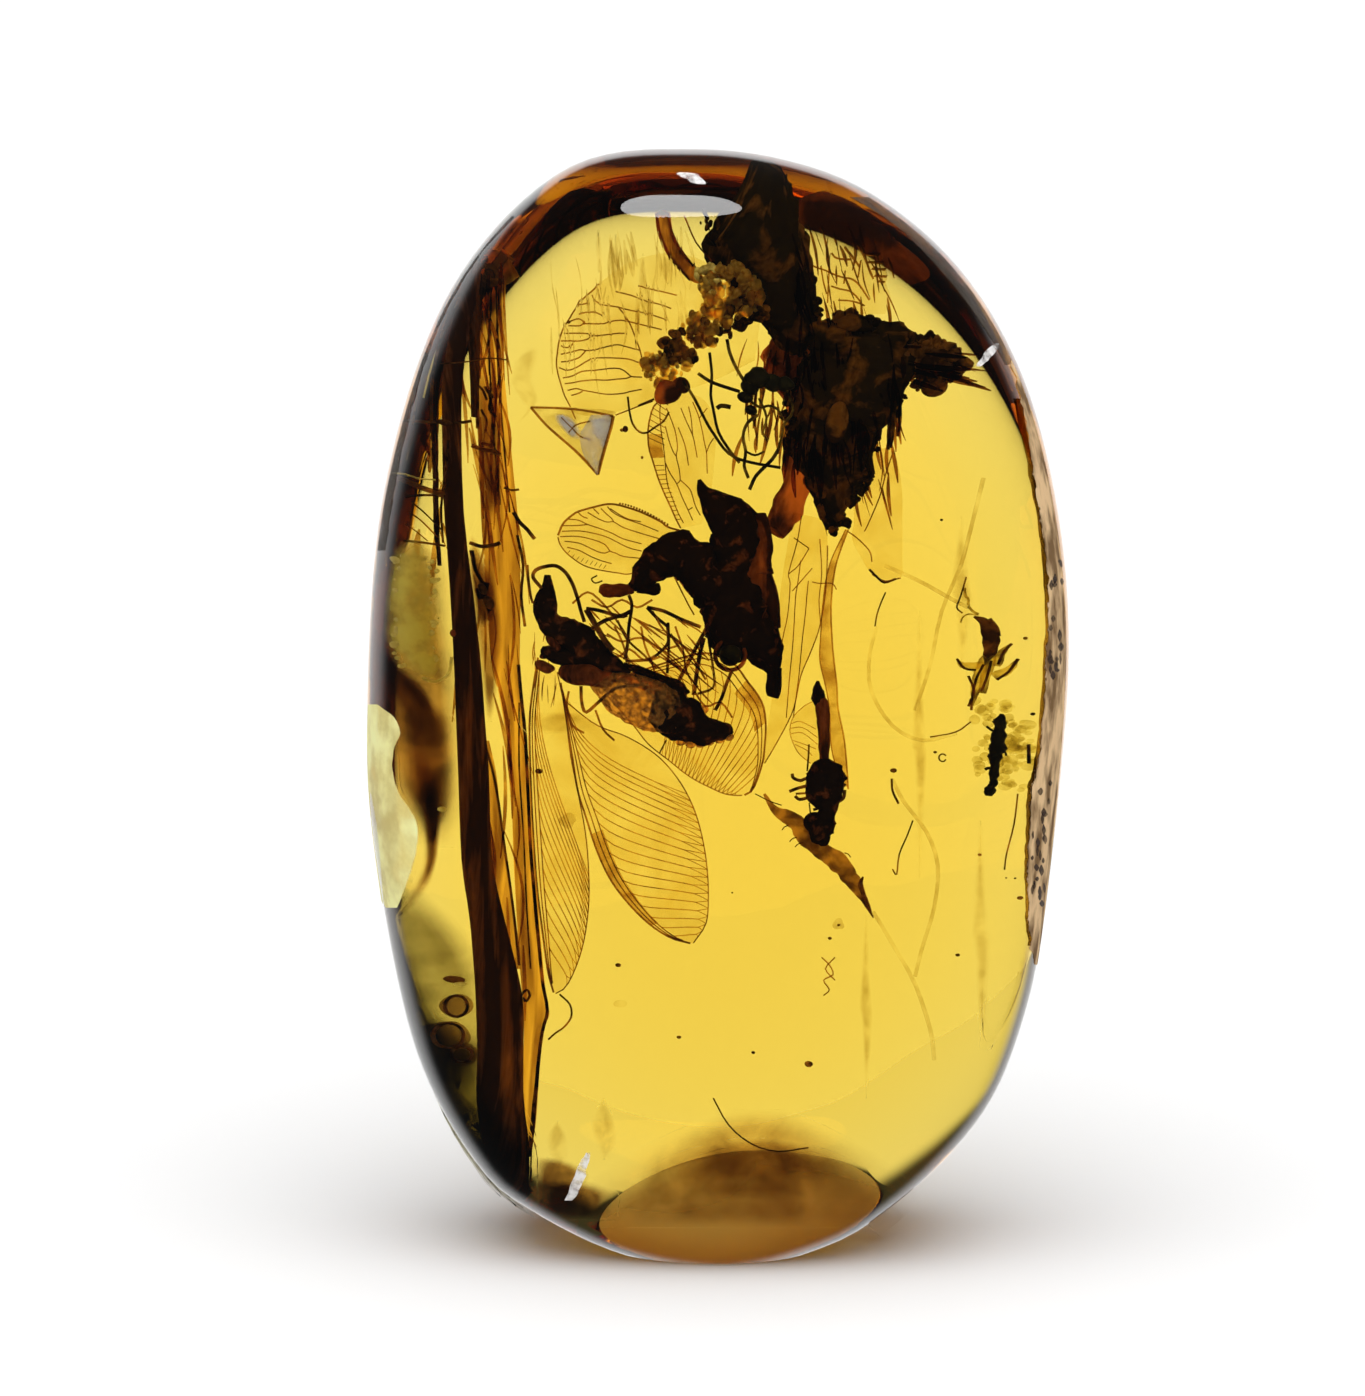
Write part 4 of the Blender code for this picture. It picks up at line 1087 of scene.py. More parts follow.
def top_wings(deep):
    """Clear skins of the wings behind the bark."""
    skin = Shape()
    west = Wing(
        ((1.2, 25.2), (0.2, 25.9), (-1.0, 26.4), (-2.2, 26.2), (-3.1, 25.6), (-3.53, 25.2),
         (-3.9, 24.65), (-4.15, 24.1), (-4.22, 23.5)),
        ((1.0, 23.6), (0.0, 23.1), (-1.0, 22.75), (-1.7, 22.5), (-2.4, 22.3), (-3.1, 22.15),
         (-3.72, 22.2), (-4.0, 22.65), (-4.18, 23.25), (-4.22, 23.45)),
        deep, 2.2,
    )
    east = Wing(
        ((2.65, 24.8), (2.55, 25.3), (2.35, 25.9), (2.22, 26.3), (2.3, 26.7), (2.5, 27.0), (2.8, 27.2)),
        ((4.4, 24.8), (4.55, 25.2), (4.42, 25.6), (4.46, 25.75), (4.38, 26.1), (4.2, 26.4),
         (3.9, 26.75), (3.6, 27.0), (2.9, 27.2)),
        deep, 2.2, billow=0.0,
    )
    south = Wing(
        ((3.5, 21.2), (3.55, 20.2), (3.6, 19.4), (3.55, 18.9), (3.8, 18.4), (4.07, 17.97), (4.4, 17.82)),
        ((4.65, 21.3), (4.85, 20.3), (4.87, 19.3), (4.87, 18.4), (4.85, 17.9), (4.5, 17.82)),
        deep, 2.4, billow=0.0,
    )
    for wing in (west, east, south):
        wing.membrane(skin)
    return skin


def top_veins(deep):
    """Veins of the wings behind the bark."""
    veins = Shape()
    lines = (
        ((-3.1, 25.6), (-3.3, 25.4), (-3.53, 25.2), (-3.75, 24.9), (-3.9, 24.65), (-4.05, 24.4),
         (-4.15, 24.1), (-4.2, 23.75), (-4.22, 23.5), (-4.18, 23.25), (-4.1, 22.95), (-4.0, 22.65),
         (-3.87, 22.4), (-3.72, 22.05)), ((-3.6, 25.05), (-3.35, 25.1)),
        ((-3.63, 24.8), (-3.45, 24.85), (-3.2, 24.85), (-3.0, 24.75)),
        ((-3.3, 25.3), (-3.2, 25.15), (-3.0, 25.05), (-2.65, 25.0), (-2.25, 24.9), (-1.95, 24.85),
         (-1.6, 24.75), (-1.3, 24.65)),
        ((-2.65, 25.4), (-2.25, 25.3), (-1.85, 25.15), (-1.45, 25.05), (-1.2, 24.95)),
        ((-2.05, 25.55), (-1.7, 25.45), (-1.45, 25.4), (-1.05, 25.3)),
        ((-3.9, 24.5), (-3.6, 24.5), (-3.5, 24.55), (-3.25, 24.55), (-3.0, 24.55), (-2.7, 24.63),
         (-2.45, 24.64), (-2.15, 24.57), (-1.85, 24.5), (-1.45, 24.4)),
        ((-3.85, 24.62), (-3.65, 24.68), (-3.53, 24.63), (-3.5, 24.55)),
        ((-3.98, 24.3), (-3.45, 24.3), (-3.26, 24.24), (-3.0, 24.25), (-2.65, 24.3), (-2.43, 24.3)),
        ((-4.1, 24.1), (-3.85, 24.1), (-3.6, 24.1), (-3.4, 24.15), (-3.26, 24.24)),
        ((-4.1, 23.98), (-4.0, 23.93), (-3.85, 23.95), (-3.75, 24.1)),
        ((-4.1, 23.75), (-3.85, 23.8), (-3.6, 23.87), (-3.45, 23.85), (-3.2, 23.87), (-2.9, 23.95),
         (-2.6, 24.0), (-2.3, 23.93), (-2.0, 23.85)),
        ((-4.1, 23.55), (-3.9, 23.57), (-3.65, 23.65), (-3.53, 23.75), (-3.45, 23.85)),
        ((-4.15, 23.4), (-3.93, 23.33), (-3.7, 23.4), (-3.45, 23.55), (-3.2, 23.65), (-2.65, 23.65),
         (-2.3, 23.62), (-2.1, 23.55), (-1.97, 23.52)),
        ((-4.05, 23.13), (-3.8, 23.18), (-3.55, 23.3), (-3.2, 23.33), (-2.8, 23.38), (-2.55, 23.37),
         (-2.38, 23.28), (-2.25, 23.17), (-1.97, 23.15)),
        ((-4.0, 22.98), (-3.8, 23.0), (-3.55, 23.05), (-3.2, 23.08), (-2.9, 23.07), (-2.6, 23.1),
         (-2.38, 23.12), (-2.25, 23.17)),
        ((-3.93, 22.8), (-3.7, 22.85), (-3.5, 22.8), (-3.2, 22.75), (-2.9, 22.7), (-2.5, 22.72),
         (-2.25, 22.78), (-1.97, 22.83)), ((-3.83, 22.67), (-3.65, 22.72), (-3.53, 22.78)),
        ((-2.6, 25.0), (-2.38, 24.73), (-2.2, 24.35), (-2.03, 23.87), (-1.96, 23.53), (-1.95, 23.3)),
        ((-2.67, 22.15), (-2.1, 22.37), (-1.68, 22.52)),
        ((3.62, 26.7), (3.77, 26.46), (3.88, 26.24), (4.0, 25.94), (4.1, 25.72)),
        ((2.94, 26.1), (2.93, 25.76), (2.9, 25.1)), ((2.72, 26.07), (2.79, 25.65), (2.88, 25.33)),
        ((2.25, 26.22), (2.57, 26.04), (2.86, 25.94), (3.05, 25.85), (3.31, 25.76), (3.53, 25.72),
         (3.73, 25.57), (3.88, 25.35), (4.0, 25.17)), ((3.0, 26.4), (3.14, 26.26), (3.53, 26.22)),
        ((3.33, 26.55), (3.5, 26.35), (3.75, 26.02)), ((3.36, 25.94), (3.33, 25.6)),
        ((2.99, 25.54), (3.23, 25.46), (3.49, 25.4), (3.66, 25.26), (3.84, 25.02)),
        ((3.18, 25.17), (3.49, 25.15), (3.7, 25.1), (3.88, 25.02)), ((3.77, 26.2), (3.7, 25.76)),
        ((4.63, 21.2), (4.43, 20.6), (4.27, 20.0), (3.95, 19.25), (3.87, 19.1)),
        ((4.07, 17.97), (4.23, 17.87), (4.43, 17.79), (4.63, 17.83), (4.83, 17.87)),
        ((3.43, 19.1), (3.67, 18.93), (3.91, 18.7), (4.03, 18.53), (4.07, 18.3)),
    )
    for line in lines:
        veins.line(line, deep - 0.05, VEIN)
    for up, near, far in (
        (26.35, 3.9, 4.25), (26.15, 3.95, 4.35), (25.98, 4.05, 4.42), (25.8, 4.12, 4.45), (25.66, 4.2, 4.4),
    ):
        veins.line(((near, up), (far, up - 0.03)), deep - 0.05, VEIN)
    return veins


def lacewing_top(looks):
    """Third lacewing behind the bark, with a broad wing reaching left."""
    deep = 2.3
    rust, skin, veins = top_trunk(deep), top_wings(deep), top_veins(deep)
    dress("lacewing_top", "insect", looks,
        body=(rust, "rust"), wings=(skin, "wing"), veins=(veins, "vein"),
    )


def gnat_right(looks):
    """Small dark gnat hanging head down from one long wing."""
    deep = -2.4
    body, rust, legs = Shape(), Shape(), Shape()
    body.limb(deep, [
        (2.65, 15.17, 0.03), (2.64, 14.95, 0.13), (2.67, 14.75, 0.17), (2.72, 14.55, 0.15),
    ], rough=0.2, grain=6.0)
    rust.limb(deep, [
        (2.7, 14.7, 0.15), (2.76, 14.5, 0.18), (2.79, 14.18, 0.17), (2.81, 13.82, 0.155),
        (2.815, 13.46, 0.145), (2.82, 13.1, 0.12),
    ], sides=12, rough=0.1, grain=5.0)
    body.limb(deep, [
        (2.82, 13.15, 0.1), (2.82, 12.96, 0.34), (2.85, 12.73, 0.48), (2.82, 12.46, 0.5),
        (2.85, 12.19, 0.46), (2.91, 11.96, 0.34), (2.95, 11.8, 0.2), (2.87, 11.62, 0.24),
        (2.8, 11.45, 0.3), (2.72, 11.15, 0.31), (2.79, 10.92, 0.17), (2.8, 10.83, 0.08),
    ], sides=16, rough=0.25, grain=5.0)
    body.lump((2.55, 11.46, deep), (0.27, 0.22, 0.27), rough=0.1)
    strides = (
        (0.025, (2.416, 13.5), (2.4, 13.18), (2.37, 12.8)),
        (0.045, (2.46, 12.55), (2.33, 12.6), (2.19, 12.55), (2.01, 12.62), (1.98, 12.73)),
        (0.045, (1.9, 12.26), (2.14, 12.35), (2.42, 12.42)),
        (0.045, (2.05, 12.14), (2.17, 12.05), (2.42, 12.1), (2.56, 12.08)),
        (0.03, (2.07, 12.2), (2.4, 12.22)), (0.02, (2.42, 11.96), (2.46, 11.64)),
        (0.04, (2.53, 11.78), (2.73, 11.83)),
        (0.05, (3.2, 12.8), (3.34, 12.68), (3.22, 12.55), (3.37, 12.4)),
        (0.05, (3.2, 12.0), (3.33, 12.1), (3.36, 12.3)),
    )
    legs.lines(deep - 0.1, strides)
    skin, veins, band = Shape(), Shape(), Shape()
    long = Wing(
        ((3.38, 19.15), (2.95, 18.2), (2.78, 17.2), (2.72, 16.3), (2.7, 15.7), (2.87, 14.95),
         (2.96, 14.36), (2.98, 13.68), (3.05, 13.18), (3.2, 12.7)),
        ((3.45, 19.15), (3.12, 18.2), (3.0, 17.2), (3.02, 16.3), (3.07, 15.72), (3.15, 15.04),
         (3.18, 14.45), (3.32, 13.77), (3.39, 13.18), (3.45, 12.32)),
        -2.1, deep, billow=0.0,
    )
    short = Wing(
        ((2.46, 13.0), (2.14, 13.275), (1.963, 13.637), (1.918, 13.909), (2.008, 14.226),
         (2.28, 14.497), (2.5, 14.62)),
        ((2.75, 13.0), (2.78, 13.4), (2.78, 13.9), (2.75, 14.3), (2.6, 14.63)),
        deep, -2.6, billow=0.0,
    )
    long.membrane(band)
    long.border(veins, VEIN, 1.3 * VEIN)
    short.membrane(skin)
    short.vein(veins, np.linspace(0, 1, 20), np.zeros(20), 0.8 * VEIN)
    arcs = (
        ((1.96, 14.05), (2.2, 14.1), (2.6, 13.9)), ((1.93, 13.92), (2.25, 13.94), (2.64, 13.68)),
        ((1.95, 13.78), (2.25, 13.8), (2.64, 13.5)), ((2.0, 13.6), (2.3, 13.5), (2.6, 13.38)),
        ((2.05, 13.5), (2.35, 13.35), (2.5, 13.2)),
    )
    for arc in arcs:
        veins.line(arc, -2.6, 0.7 * VEIN)
    dress("gnat_right", "insect", looks,
        body=(body, "chitin"), belly=(rust, "rust"), legs=(legs, "leg"), wings=(skin, "wing"),
        long_wing=(band, "stain"), veins=(veins, "pale_vein"),
    )


def beetle_small(looks):
    """Slim jointed beetle by the right side."""
    deep = -0.9
    body = Shape()
    body.limb(deep, [
        (7.485, 14.3, 0.04), (7.43, 14.09, 0.14), (7.41, 13.9, 0.11), (7.4, 13.75, 0.17),
        (7.38, 13.58, 0.14), (7.37, 13.42, 0.18), (7.34, 13.28, 0.13), (7.32, 13.16, 0.16),
        (7.3, 12.96, 0.09), (7.27, 12.76, 0.12), (7.25, 12.6, 0.08), (7.25, 12.49, 0.1),
        (7.2, 12.4, 0.08), (7.17, 12.32, 0.13), (7.13, 12.15, 0.08),
    ], sides=12, rough=0.35, grain=7.0)
    body.line(((7.35, 13.8), (7.18, 13.9), (7.08, 13.98)), deep, 0.03)
    body.line(((7.28, 12.85), (7.12, 12.88), (7.04, 12.84)), deep, 0.04)
    body.line(((7.4, 13.4), (7.56, 13.3), (7.6, 13.2)), deep, 0.025)
    dress("beetle_small", "insect", looks, body=(body, "black"))


def ant_top(looks):
    """Black long-legged ant in front of the bark."""
    deep = -2.2
    body, legs = Shape(), Shape()
    for across, up, size in (
        (1.07, 23.13, 0.28), (1.45, 23.0, 0.22), (1.8, 22.95, 0.2), (0.74, 22.6, 0.16), (0.9, 22.3, 0.15),
        (0.88, 22.9, 0.2),
    ):
        body.lump((across, up, deep), (1.2 * size, 0.9 * size, 0.9 * size), 0.3, rough=0.35, grain=4.0)
    strides = (
        (0.045, (0.26, 24.15), (0.33, 23.8), (0.5, 23.4), (0.77, 22.95)),
        (0.045, (-0.5, 23.25), (-0.2, 23.05), (0.1, 22.93), (0.6, 22.77)),
        (0.04, (-0.2, 23.8), (-0.14, 23.2), (-0.17, 22.7), (-0.1, 22.3), (0.04, 21.7), (0.35, 21.2),
         (0.59, 20.9)), (0.06, (0.0, 22.33), (0.12, 22.4), (0.36, 22.36)),
        (0.045, (1.07, 22.16), (0.8, 21.95), (0.68, 21.6), (0.75, 21.2), (0.71, 20.83), (0.82, 20.5)),
        (0.04, (-0.9, 23.05), (-0.6, 22.6), (-0.3, 22.0), (-0.05, 21.6), (0.3, 21.15), (0.8, 20.93),
         (1.67, 20.77)), (0.05, (1.61, 21.26), (1.45, 21.0), (1.2, 20.75), (1.0, 20.53), (0.85, 20.2)),
        (0.04, (1.8, 22.9), (2.0, 22.3), (1.75, 21.9), (1.7, 21.6), (1.61, 21.26)),
        (0.035, (0.9, 22.5), (1.15, 22.35), (1.35, 22.4), (1.6, 22.3), (1.75, 22.0)),
        (0.035, (1.1, 22.6), (1.3, 22.1), (1.2, 21.7), (1.35, 21.5)),
        (0.03, (0.75, 21.2), (1.0, 21.1), (1.25, 21.2)),
    )
    legs.lines(deep - 0.1, strides)
    dress("ant_top", "insect", looks, body=(body, "black"), legs=(legs, "ant_leg"))


def stem_dark(looks):
    """Long dark blade-shaped stem that widens towards the base, with reddish streaks."""
    blade, slip = Shape(), Shape()
    blade.ribbon((
        (26.2, -6.36, -6.3), (25.4, -6.6, -6.38), (24.5, -6.88, -6.57), (23.2, -7.17, -6.74),
        (21.9, -7.2, -6.77), (20.0, -7.17, -6.72), (18.7, -7.08, -6.6), (17.3, -6.99, -6.42),
        (15.5, -6.9, -6.22), (14.1, -6.85, -6.12), (12.8, -6.8, -6.02), (10.5, -6.71, -5.93),
        (9.1, -6.52, -5.65), (8.2, -6.43, -5.42), (6.8, -6.34, -5.12), (5.4, -6.3, -5.1),
        (4.1, -6.3, -5.1), (2.9, -6.05, -4.95), (1.9, -5.35, -4.95), (1.6, -5.05, -4.95),
    ), 0.4, thick=0.14, bow=0.04, columns=11)
    slip.ribbon((
        (25.9, -6.34, -6.24), (25.0, -6.42, -6.26), (24.0, -6.45, -6.28), (23.0, -6.42, -6.3),
        (22.1, -6.4, -6.36),
    ), 0.7, thick=0.08)
    slip.ribbon((
        (23.6, -7.36, -7.3), (22.4, -7.45, -7.36), (20.8, -7.42, -7.36), (19.4, -7.4, -7.34),
        (18.2, -7.3, -7.27),
    ), 1.2, thick=0.05)
    dress("stem_dark", "stem_dark", looks, blade=(blade, "stem_dark"), slips=(slip, "stem_dark"))


def stem_pale(looks):
    """Straighter translucent orange stem behind the dark one, with a split-off blade and dark edges."""
    blade, brown, edges = Shape(), Shape(), Shape()
    blade.ribbon((
        (26.5, -6.0, -5.6), (26.1, -6.2, -5.56), (25.4, -6.24, -5.6), (23.7, -6.35, -5.63),
        (22.3, -6.3, -5.52), (21.0, -6.25, -5.4), (19.1, -6.17, -5.22), (17.3, -6.05, -5.18),
        (15.5, -5.9, -5.2), (14.7, -5.69, -5.14), (12.8, -5.42, -4.96), (10.5, -5.33, -4.82),
        (8.2, -5.2, -4.63), (6.8, -5.1, -4.5), (6.4, -5.08, -4.42), (5.8, -5.05, -4.63),
        (4.1, -5.1, -4.77), (2.9, -5.1, -4.87), (1.9, -5.0, -4.92),
    ), 1.8, thick=0.1, bow=0.04, columns=9)
    blade.ribbon((
        (13.6, -6.12, -6.02), (12.8, -6.08, -5.83), (11.9, -6.0, -5.72), (10.5, -5.93, -5.55),
        (9.1, -5.65, -5.35), (8.2, -5.42, -5.21), (7.6, -5.28, -5.2),
    ), 1.5, thick=0.06, bow=0.03)
    brown.ribbon((
        (18.7, -6.55, -6.4), (18.2, -6.6, -6.1), (17.5, -6.55, -5.75), (16.5, -6.45, -5.6),
        (15.5, -6.25, -5.7), (14.7, -6.15, -5.8), (14.1, -6.05, -5.9),
    ), 1.2, thick=0.05, bow=0.03, soft=True)
    brown.ribbon((
        (23.2, -6.3, -6.0), (22.4, -6.28, -5.8), (21.2, -6.2, -5.75), (20.2, -6.15, -5.65),
        (19.3, -6.1, -5.9),
    ), 1.3, thick=0.05, soft=True)
    for deep, radius, *places in (
        (1.55, 0.035, (-6.28, 26.2), (-6.28, 24.6), (-6.32, 23.4), (-6.28, 21.8)),
        (1.6, 0.02, (-5.72, 26.5), (-5.76, 24.9), (-5.74, 23.2), (-5.6, 21.4), (-5.45, 19.6)),
        (1.6, 0.018, (-5.9, 26.0), (-5.98, 24.0), (-5.9, 22.0), (-5.7, 19.8)),
        (1.55, 0.04, (-5.22, 15.6), (-5.14, 14.67), (-5.04, 13.7), (-4.97, 12.2), (-4.91, 10.9),
         (-4.81, 9.6), (-4.68, 8.2), (-4.58, 7.2), (-4.46, 6.5), (-4.6, 5.9), (-4.76, 4.6),
         (-4.86, 3.2), (-4.9, 2.0)),
        (1.6, 0.02, (-5.2, 14.6), (-5.2, 12.9), (-5.08, 11.0), (-5.0, 9.2), (-4.9, 7.6)),
        (1.5, 0.03, (-6.1, 13.5), (-5.83, 12.5), (-5.57, 10.7), (-5.36, 9.2), (-5.2, 7.7)),
        (1.1, 0.045, (-6.45, 18.6), (-6.35, 18.1), (-6.15, 17.7), (-6.1, 17.3), (-5.98, 17.0)),
        (1.1, 0.06, (-6.3, 17.6), (-6.22, 17.35), (-6.1, 17.5), (-6.04, 17.75)),
        (1.1, 0.03, (-6.1, 22.9), (-5.95, 22.6), (-5.98, 22.3), (-5.8, 22.1)),
        (1.1, 0.025, (-6.2, 22.3), (-6.05, 22.0), (-6.1, 21.7)),
        (1.3, 0.03, (-5.15, 6.9), (-5.0, 7.05), (-4.92, 6.9), (-5.02, 6.75), (-5.1, 6.85)),
    ):
        edges.line(places, deep, radius)
    edges.lump((-6.94, 16.42, 0.0), (0.07, 0.05, 0.1), rough=0.4)
    threads = Shape()
    for count, across, up, seed in (
        (12, (-6.35, -5.6), (24.4, 26.3), 21), (18, (-6.95, -5.6), (20.5, 24.2), 22),
        (16, (-6.9, -5.4), (16.5, 20.5), 23), (14, (-6.6, -5.1), (11.5, 16.5), 24),
        (8, (-6.0, -4.9), (7.5, 11.5), 25),
    ):
        fibres(threads, count, across, up, 0.07, (1.2, 3.4), 1.0, (0.012, 0.05), seed)
    fibres(threads, 12, (-7.9, -7.2), (19.0, 22.5), 0.05, (0.8, 2.2), 1.1, (0.015, 0.05), 26)
    dress("stem_pale", "stem_pale", looks,
        blade=(blade, "stem_pale"), brown=(brown, "brown_veil"), edges=(edges, "leg"),
        threads=(threads, "pale_vein"),
    )


def needle(looks):
    """Curved orange needle at the top, dark along its edges."""
    shape, edges = Shape(), Shape()
    shape.tube([
        (-1.43, 27.47, -1.0, 0.14), (-1.34, 26.93, -0.9, 0.18), (-1.04, 26.33, -0.6, 0.18),
        (-0.62, 25.84, -0.1, 0.15), (-0.4, 25.7, 0.1, 0.08),
    ], sides=12)
    for shift in (-0.16, 0.16):
        edges.tube([
            (-1.43 + shift, 27.47, -1.05, 0.04), (-1.34 + shift, 26.9, -0.95, 0.045),
            (-1.04 + shift, 26.33 + shift * 0.3, -0.65, 0.045),
            (-0.62 + shift * 0.6, 25.84 + shift * 0.8, -0.15, 0.03),
        ], sides=6)
    edges.line(((-0.86, 27.4), (-0.56, 26.7), (-0.14, 26.2)), -0.5, 0.02)
    dress("needle", "stem_pale", looks, core=(shape, "needle"), edges=(edges, "rust"))


def bark_black(looks):
    """Black splinter of bark under the top."""
    shape = Shape()
    shape.tube([
        (0.55, 27.6, 0.0, 0.9), (0.77, 27.35, 0.0, 1.05), (0.95, 26.75, 0.1, 1.1),
        (1.31, 26.08, 0.2, 1.02), (1.67, 25.48, 0.3, 0.83), (1.92, 24.82, 0.4, 0.66),
        (2.04, 24.2, 0.4, 0.5), (2.15, 23.8, 0.4, 0.2),
    ], sides=28, steps=8, rough=0.16, grain=2.2)
    fray(shape, ((-0.3, 27.3), (0.0, 26.6), (0.4, 25.9), (0.85, 25.2), (1.3, 24.6), (1.6, 24.0)), 0.2, 1)
    fray(shape, ((1.9, 27.3), (2.05, 26.7), (2.3, 26.0), (2.5, 25.3), (2.6, 24.6), (2.5, 23.9)), 0.2, 2)
    dress("bark_black", "bark", looks, splinter=(shape, "bark"))


def fray(shape, places, deep, seed, count=46, size=(0.03, 0.15)):
    """Scatter ragged chips along an outline."""
    pick = random.Random(seed)
    line = open_curve(places, 12)
    for _ in range(count):
        across, up = line[pick.randrange(len(line))]
        wide = pick.uniform(*size)
        place = (across + pick.gauss(0, 0.07), up + pick.gauss(0, 0.07), deep + pick.uniform(-0.4, 0.4))
        radii = (wide, 0.7 * wide, wide * pick.uniform(0.4, 1.5))
        shape.lump(place, radii, pick.uniform(0, 3), 0.7, 7.0, 7, 9)


def bark_dark(looks):
    """Ragged brown bark at the upper right with a spike and strands below."""
    dark, brown, strands = Shape(), Shape(), Shape()
    dark.tube([
        (3.97, 24.35, -0.1, 0.85), (3.95, 24.0, -0.1, 1.05), (3.85, 23.5, -0.1, 1.2),
        (3.4, 22.77, -0.1, 1.25), (3.06, 22.04, 0.0, 1.1), (3.0, 21.3, 0.0, 0.95),
        (3.06, 20.6, 0.1, 0.72), (3.03, 19.93, 0.2, 0.46), (2.94, 19.15, 0.3, 0.1),
    ], sides=30, steps=8, flat=0.8, rough=0.24, grain=2.4)
    for across, up, wide, high in (
        (3.0, 24.2, 0.5, 0.35), (4.6, 24.3, 0.4, 0.25), (2.7, 22.9, 0.45, 0.5), (4.3, 23.1, 0.6, 0.5),
        (3.6, 24.6, 0.4, 0.2),
    ):
        dark.lump((across, up, -0.2), (wide, 0.5, high), 0.2, rough=0.5, grain=3.5, rings=14, turns=18)
    brown.tube([
        (4.8, 23.7, 0.0, 0.5), (5.24, 23.62, 0.0, 0.46), (5.7, 23.55, 0.0, 0.42), (6.1, 23.5, 0.1, 0.3),
        (6.4, 23.45, 0.1, 0.1), (6.7, 23.4, 0.1, 0.03),
    ], sides=20, steps=6, rough=0.5, grain=3.5)
    brown.lump((5.66, 22.95, 0.0), (0.3, 0.25, 0.25), rough=0.4)
    brown.lump((3.15, 22.0, -1.15), (0.27, 0.1, 0.5), 0.1, rough=0.2)
    fringe = (
        ((4.05, 22.9), (4.1, 22.2), (4.0, 21.5)), ((4.35, 22.9), (4.3, 22.2), (4.25, 21.6)),
        ((4.5, 22.8), (4.6, 22.3), (4.55, 21.9), (4.5, 21.25)),
        ((4.72, 22.8), (4.66, 22.2), (4.55, 21.3)), ((3.85, 22.2), (3.8, 21.4), (4.1, 20.5)),
        ((4.1, 22.0), (4.0, 21.2), (4.1, 20.6)),
    )
    fray(dark, (
        (2.2, 24.3), (2.3, 23.5), (1.95, 22.6), (2.02, 21.6), (2.38, 21.2), (2.46, 20.6), (2.74, 20.1),
        (2.8, 19.5),
    ), 0.0, 3, 70)
    fray(dark, (
        (3.1, 19.1), (3.3, 19.5), (3.67, 20.1), (3.95, 20.5), (4.05, 21.2), (4.2, 21.6), (4.5, 22.2),
        (4.9, 22.8),
    ), 0.0, 4, 70)
    fray(dark, ((2.3, 24.3), (3.0, 24.6), (3.6, 24.75), (4.3, 24.5), (4.8, 24.2), (5.2, 24.0)), 0.0, 5, 50)
    fray(brown, ((4.9, 24.1), (5.6, 24.0), (6.2, 23.7), (6.4, 23.4), (6.0, 23.1), (5.6, 22.8),
                 (5.2, 22.9)), 0.0, 6, 60)
    wisps = Shape()
    fibres(wisps, 60, (2.0, 4.9), (20.9, 24.4), 0.05, (0.5, 1.6), -0.9, (0.02, 0.07), 31)
    fibres(wisps, 50, (1.9, 4.5), (24.8, 27.2), 0.2, (0.4, 1.4), -0.4, (0.012, 0.045), 32)
    fibres(wisps, 40, (2.6, 4.7), (20.2, 22.6), 0.15, (0.5, 1.5), 0.5, (0.015, 0.05), 33)
    fibres(wisps, 40, (0.6, 2.3), (21.4, 24.3), -0.1, (0.4, 1.3), -0.5, (0.02, 0.06), 34)
    fibres(wisps, 26, (4.6, 6.3), (23.1, 24.0), 1.4, (0.5, 1.2), -0.5, (0.015, 0.06), 35)
    for index, places in enumerate(fringe):
        stations = [
            (across, up, -0.2 - 0.05 * index, 0.09 - 0.015 * spot)
            for spot, (across, up) in enumerate(places)
        ]
        strands.tube(stations, sides=6, rough=0.3, grain=5.0)
    dress("bark_dark", "bark", looks,
        mass=(dark, "bark"), tatters=(brown, "bark_brown"), strands=(strands, "bark"),
        wisps=(wisps, "vein"),
    )


def crumb(looks):
    """Golden-brown crumb of resin and dust left of the bark."""
    gold, frost, brown = Shape(), Shape(), Shape()
    pick = random.Random(5)
    areas = (
        (gold, 70, (0.3, 25.3), (0.85, 0.75), (0.07, 0.2)),
        (gold, 50, (-1.35, 23.45), (0.6, 0.55), (0.05, 0.17)),
        (gold, 24, (-0.4, 24.5), (0.5, 0.5), (0.07, 0.18)),
        (frost, 34, (-0.15, 25.75), (0.45, 0.4), (0.04, 0.13)),
        (frost, 14, (-1.5, 23.3), (0.5, 0.45), (0.03, 0.08)),
        (brown, 44, (-0.95, 23.95), (0.55, 0.45), (0.06, 0.17)),
        (brown, 26, (0.75, 24.85), (0.55, 0.45), (0.08, 0.2)),
        (brown, 16, (-0.1, 24.4), (0.6, 0.3), (0.06, 0.15)),
    )
    for shape, count, (across, up), (wide, high), (small, large) in areas:
        for _ in range(count):
            turn, far = pick.uniform(0, 2 * math.pi), math.sqrt(pick.random())
            aside, rise = wide * far * math.cos(turn), high * far * math.sin(turn)
            place = (across + aside, up + rise, pick.uniform(-1.6, -1.1))
            size = pick.uniform(small, large)
            radii = (size, 0.8 * size, size * pick.uniform(0.5, 1.1))
            shape.lump(place, radii, pick.uniform(0, 3), 0.6, 6.0, 8, 11)
    dress("crumb", "crumb", looks,
        gold=(gold, "crumb"), frost=(frost, "frost"), brown=(brown, "bark_brown"),
    )


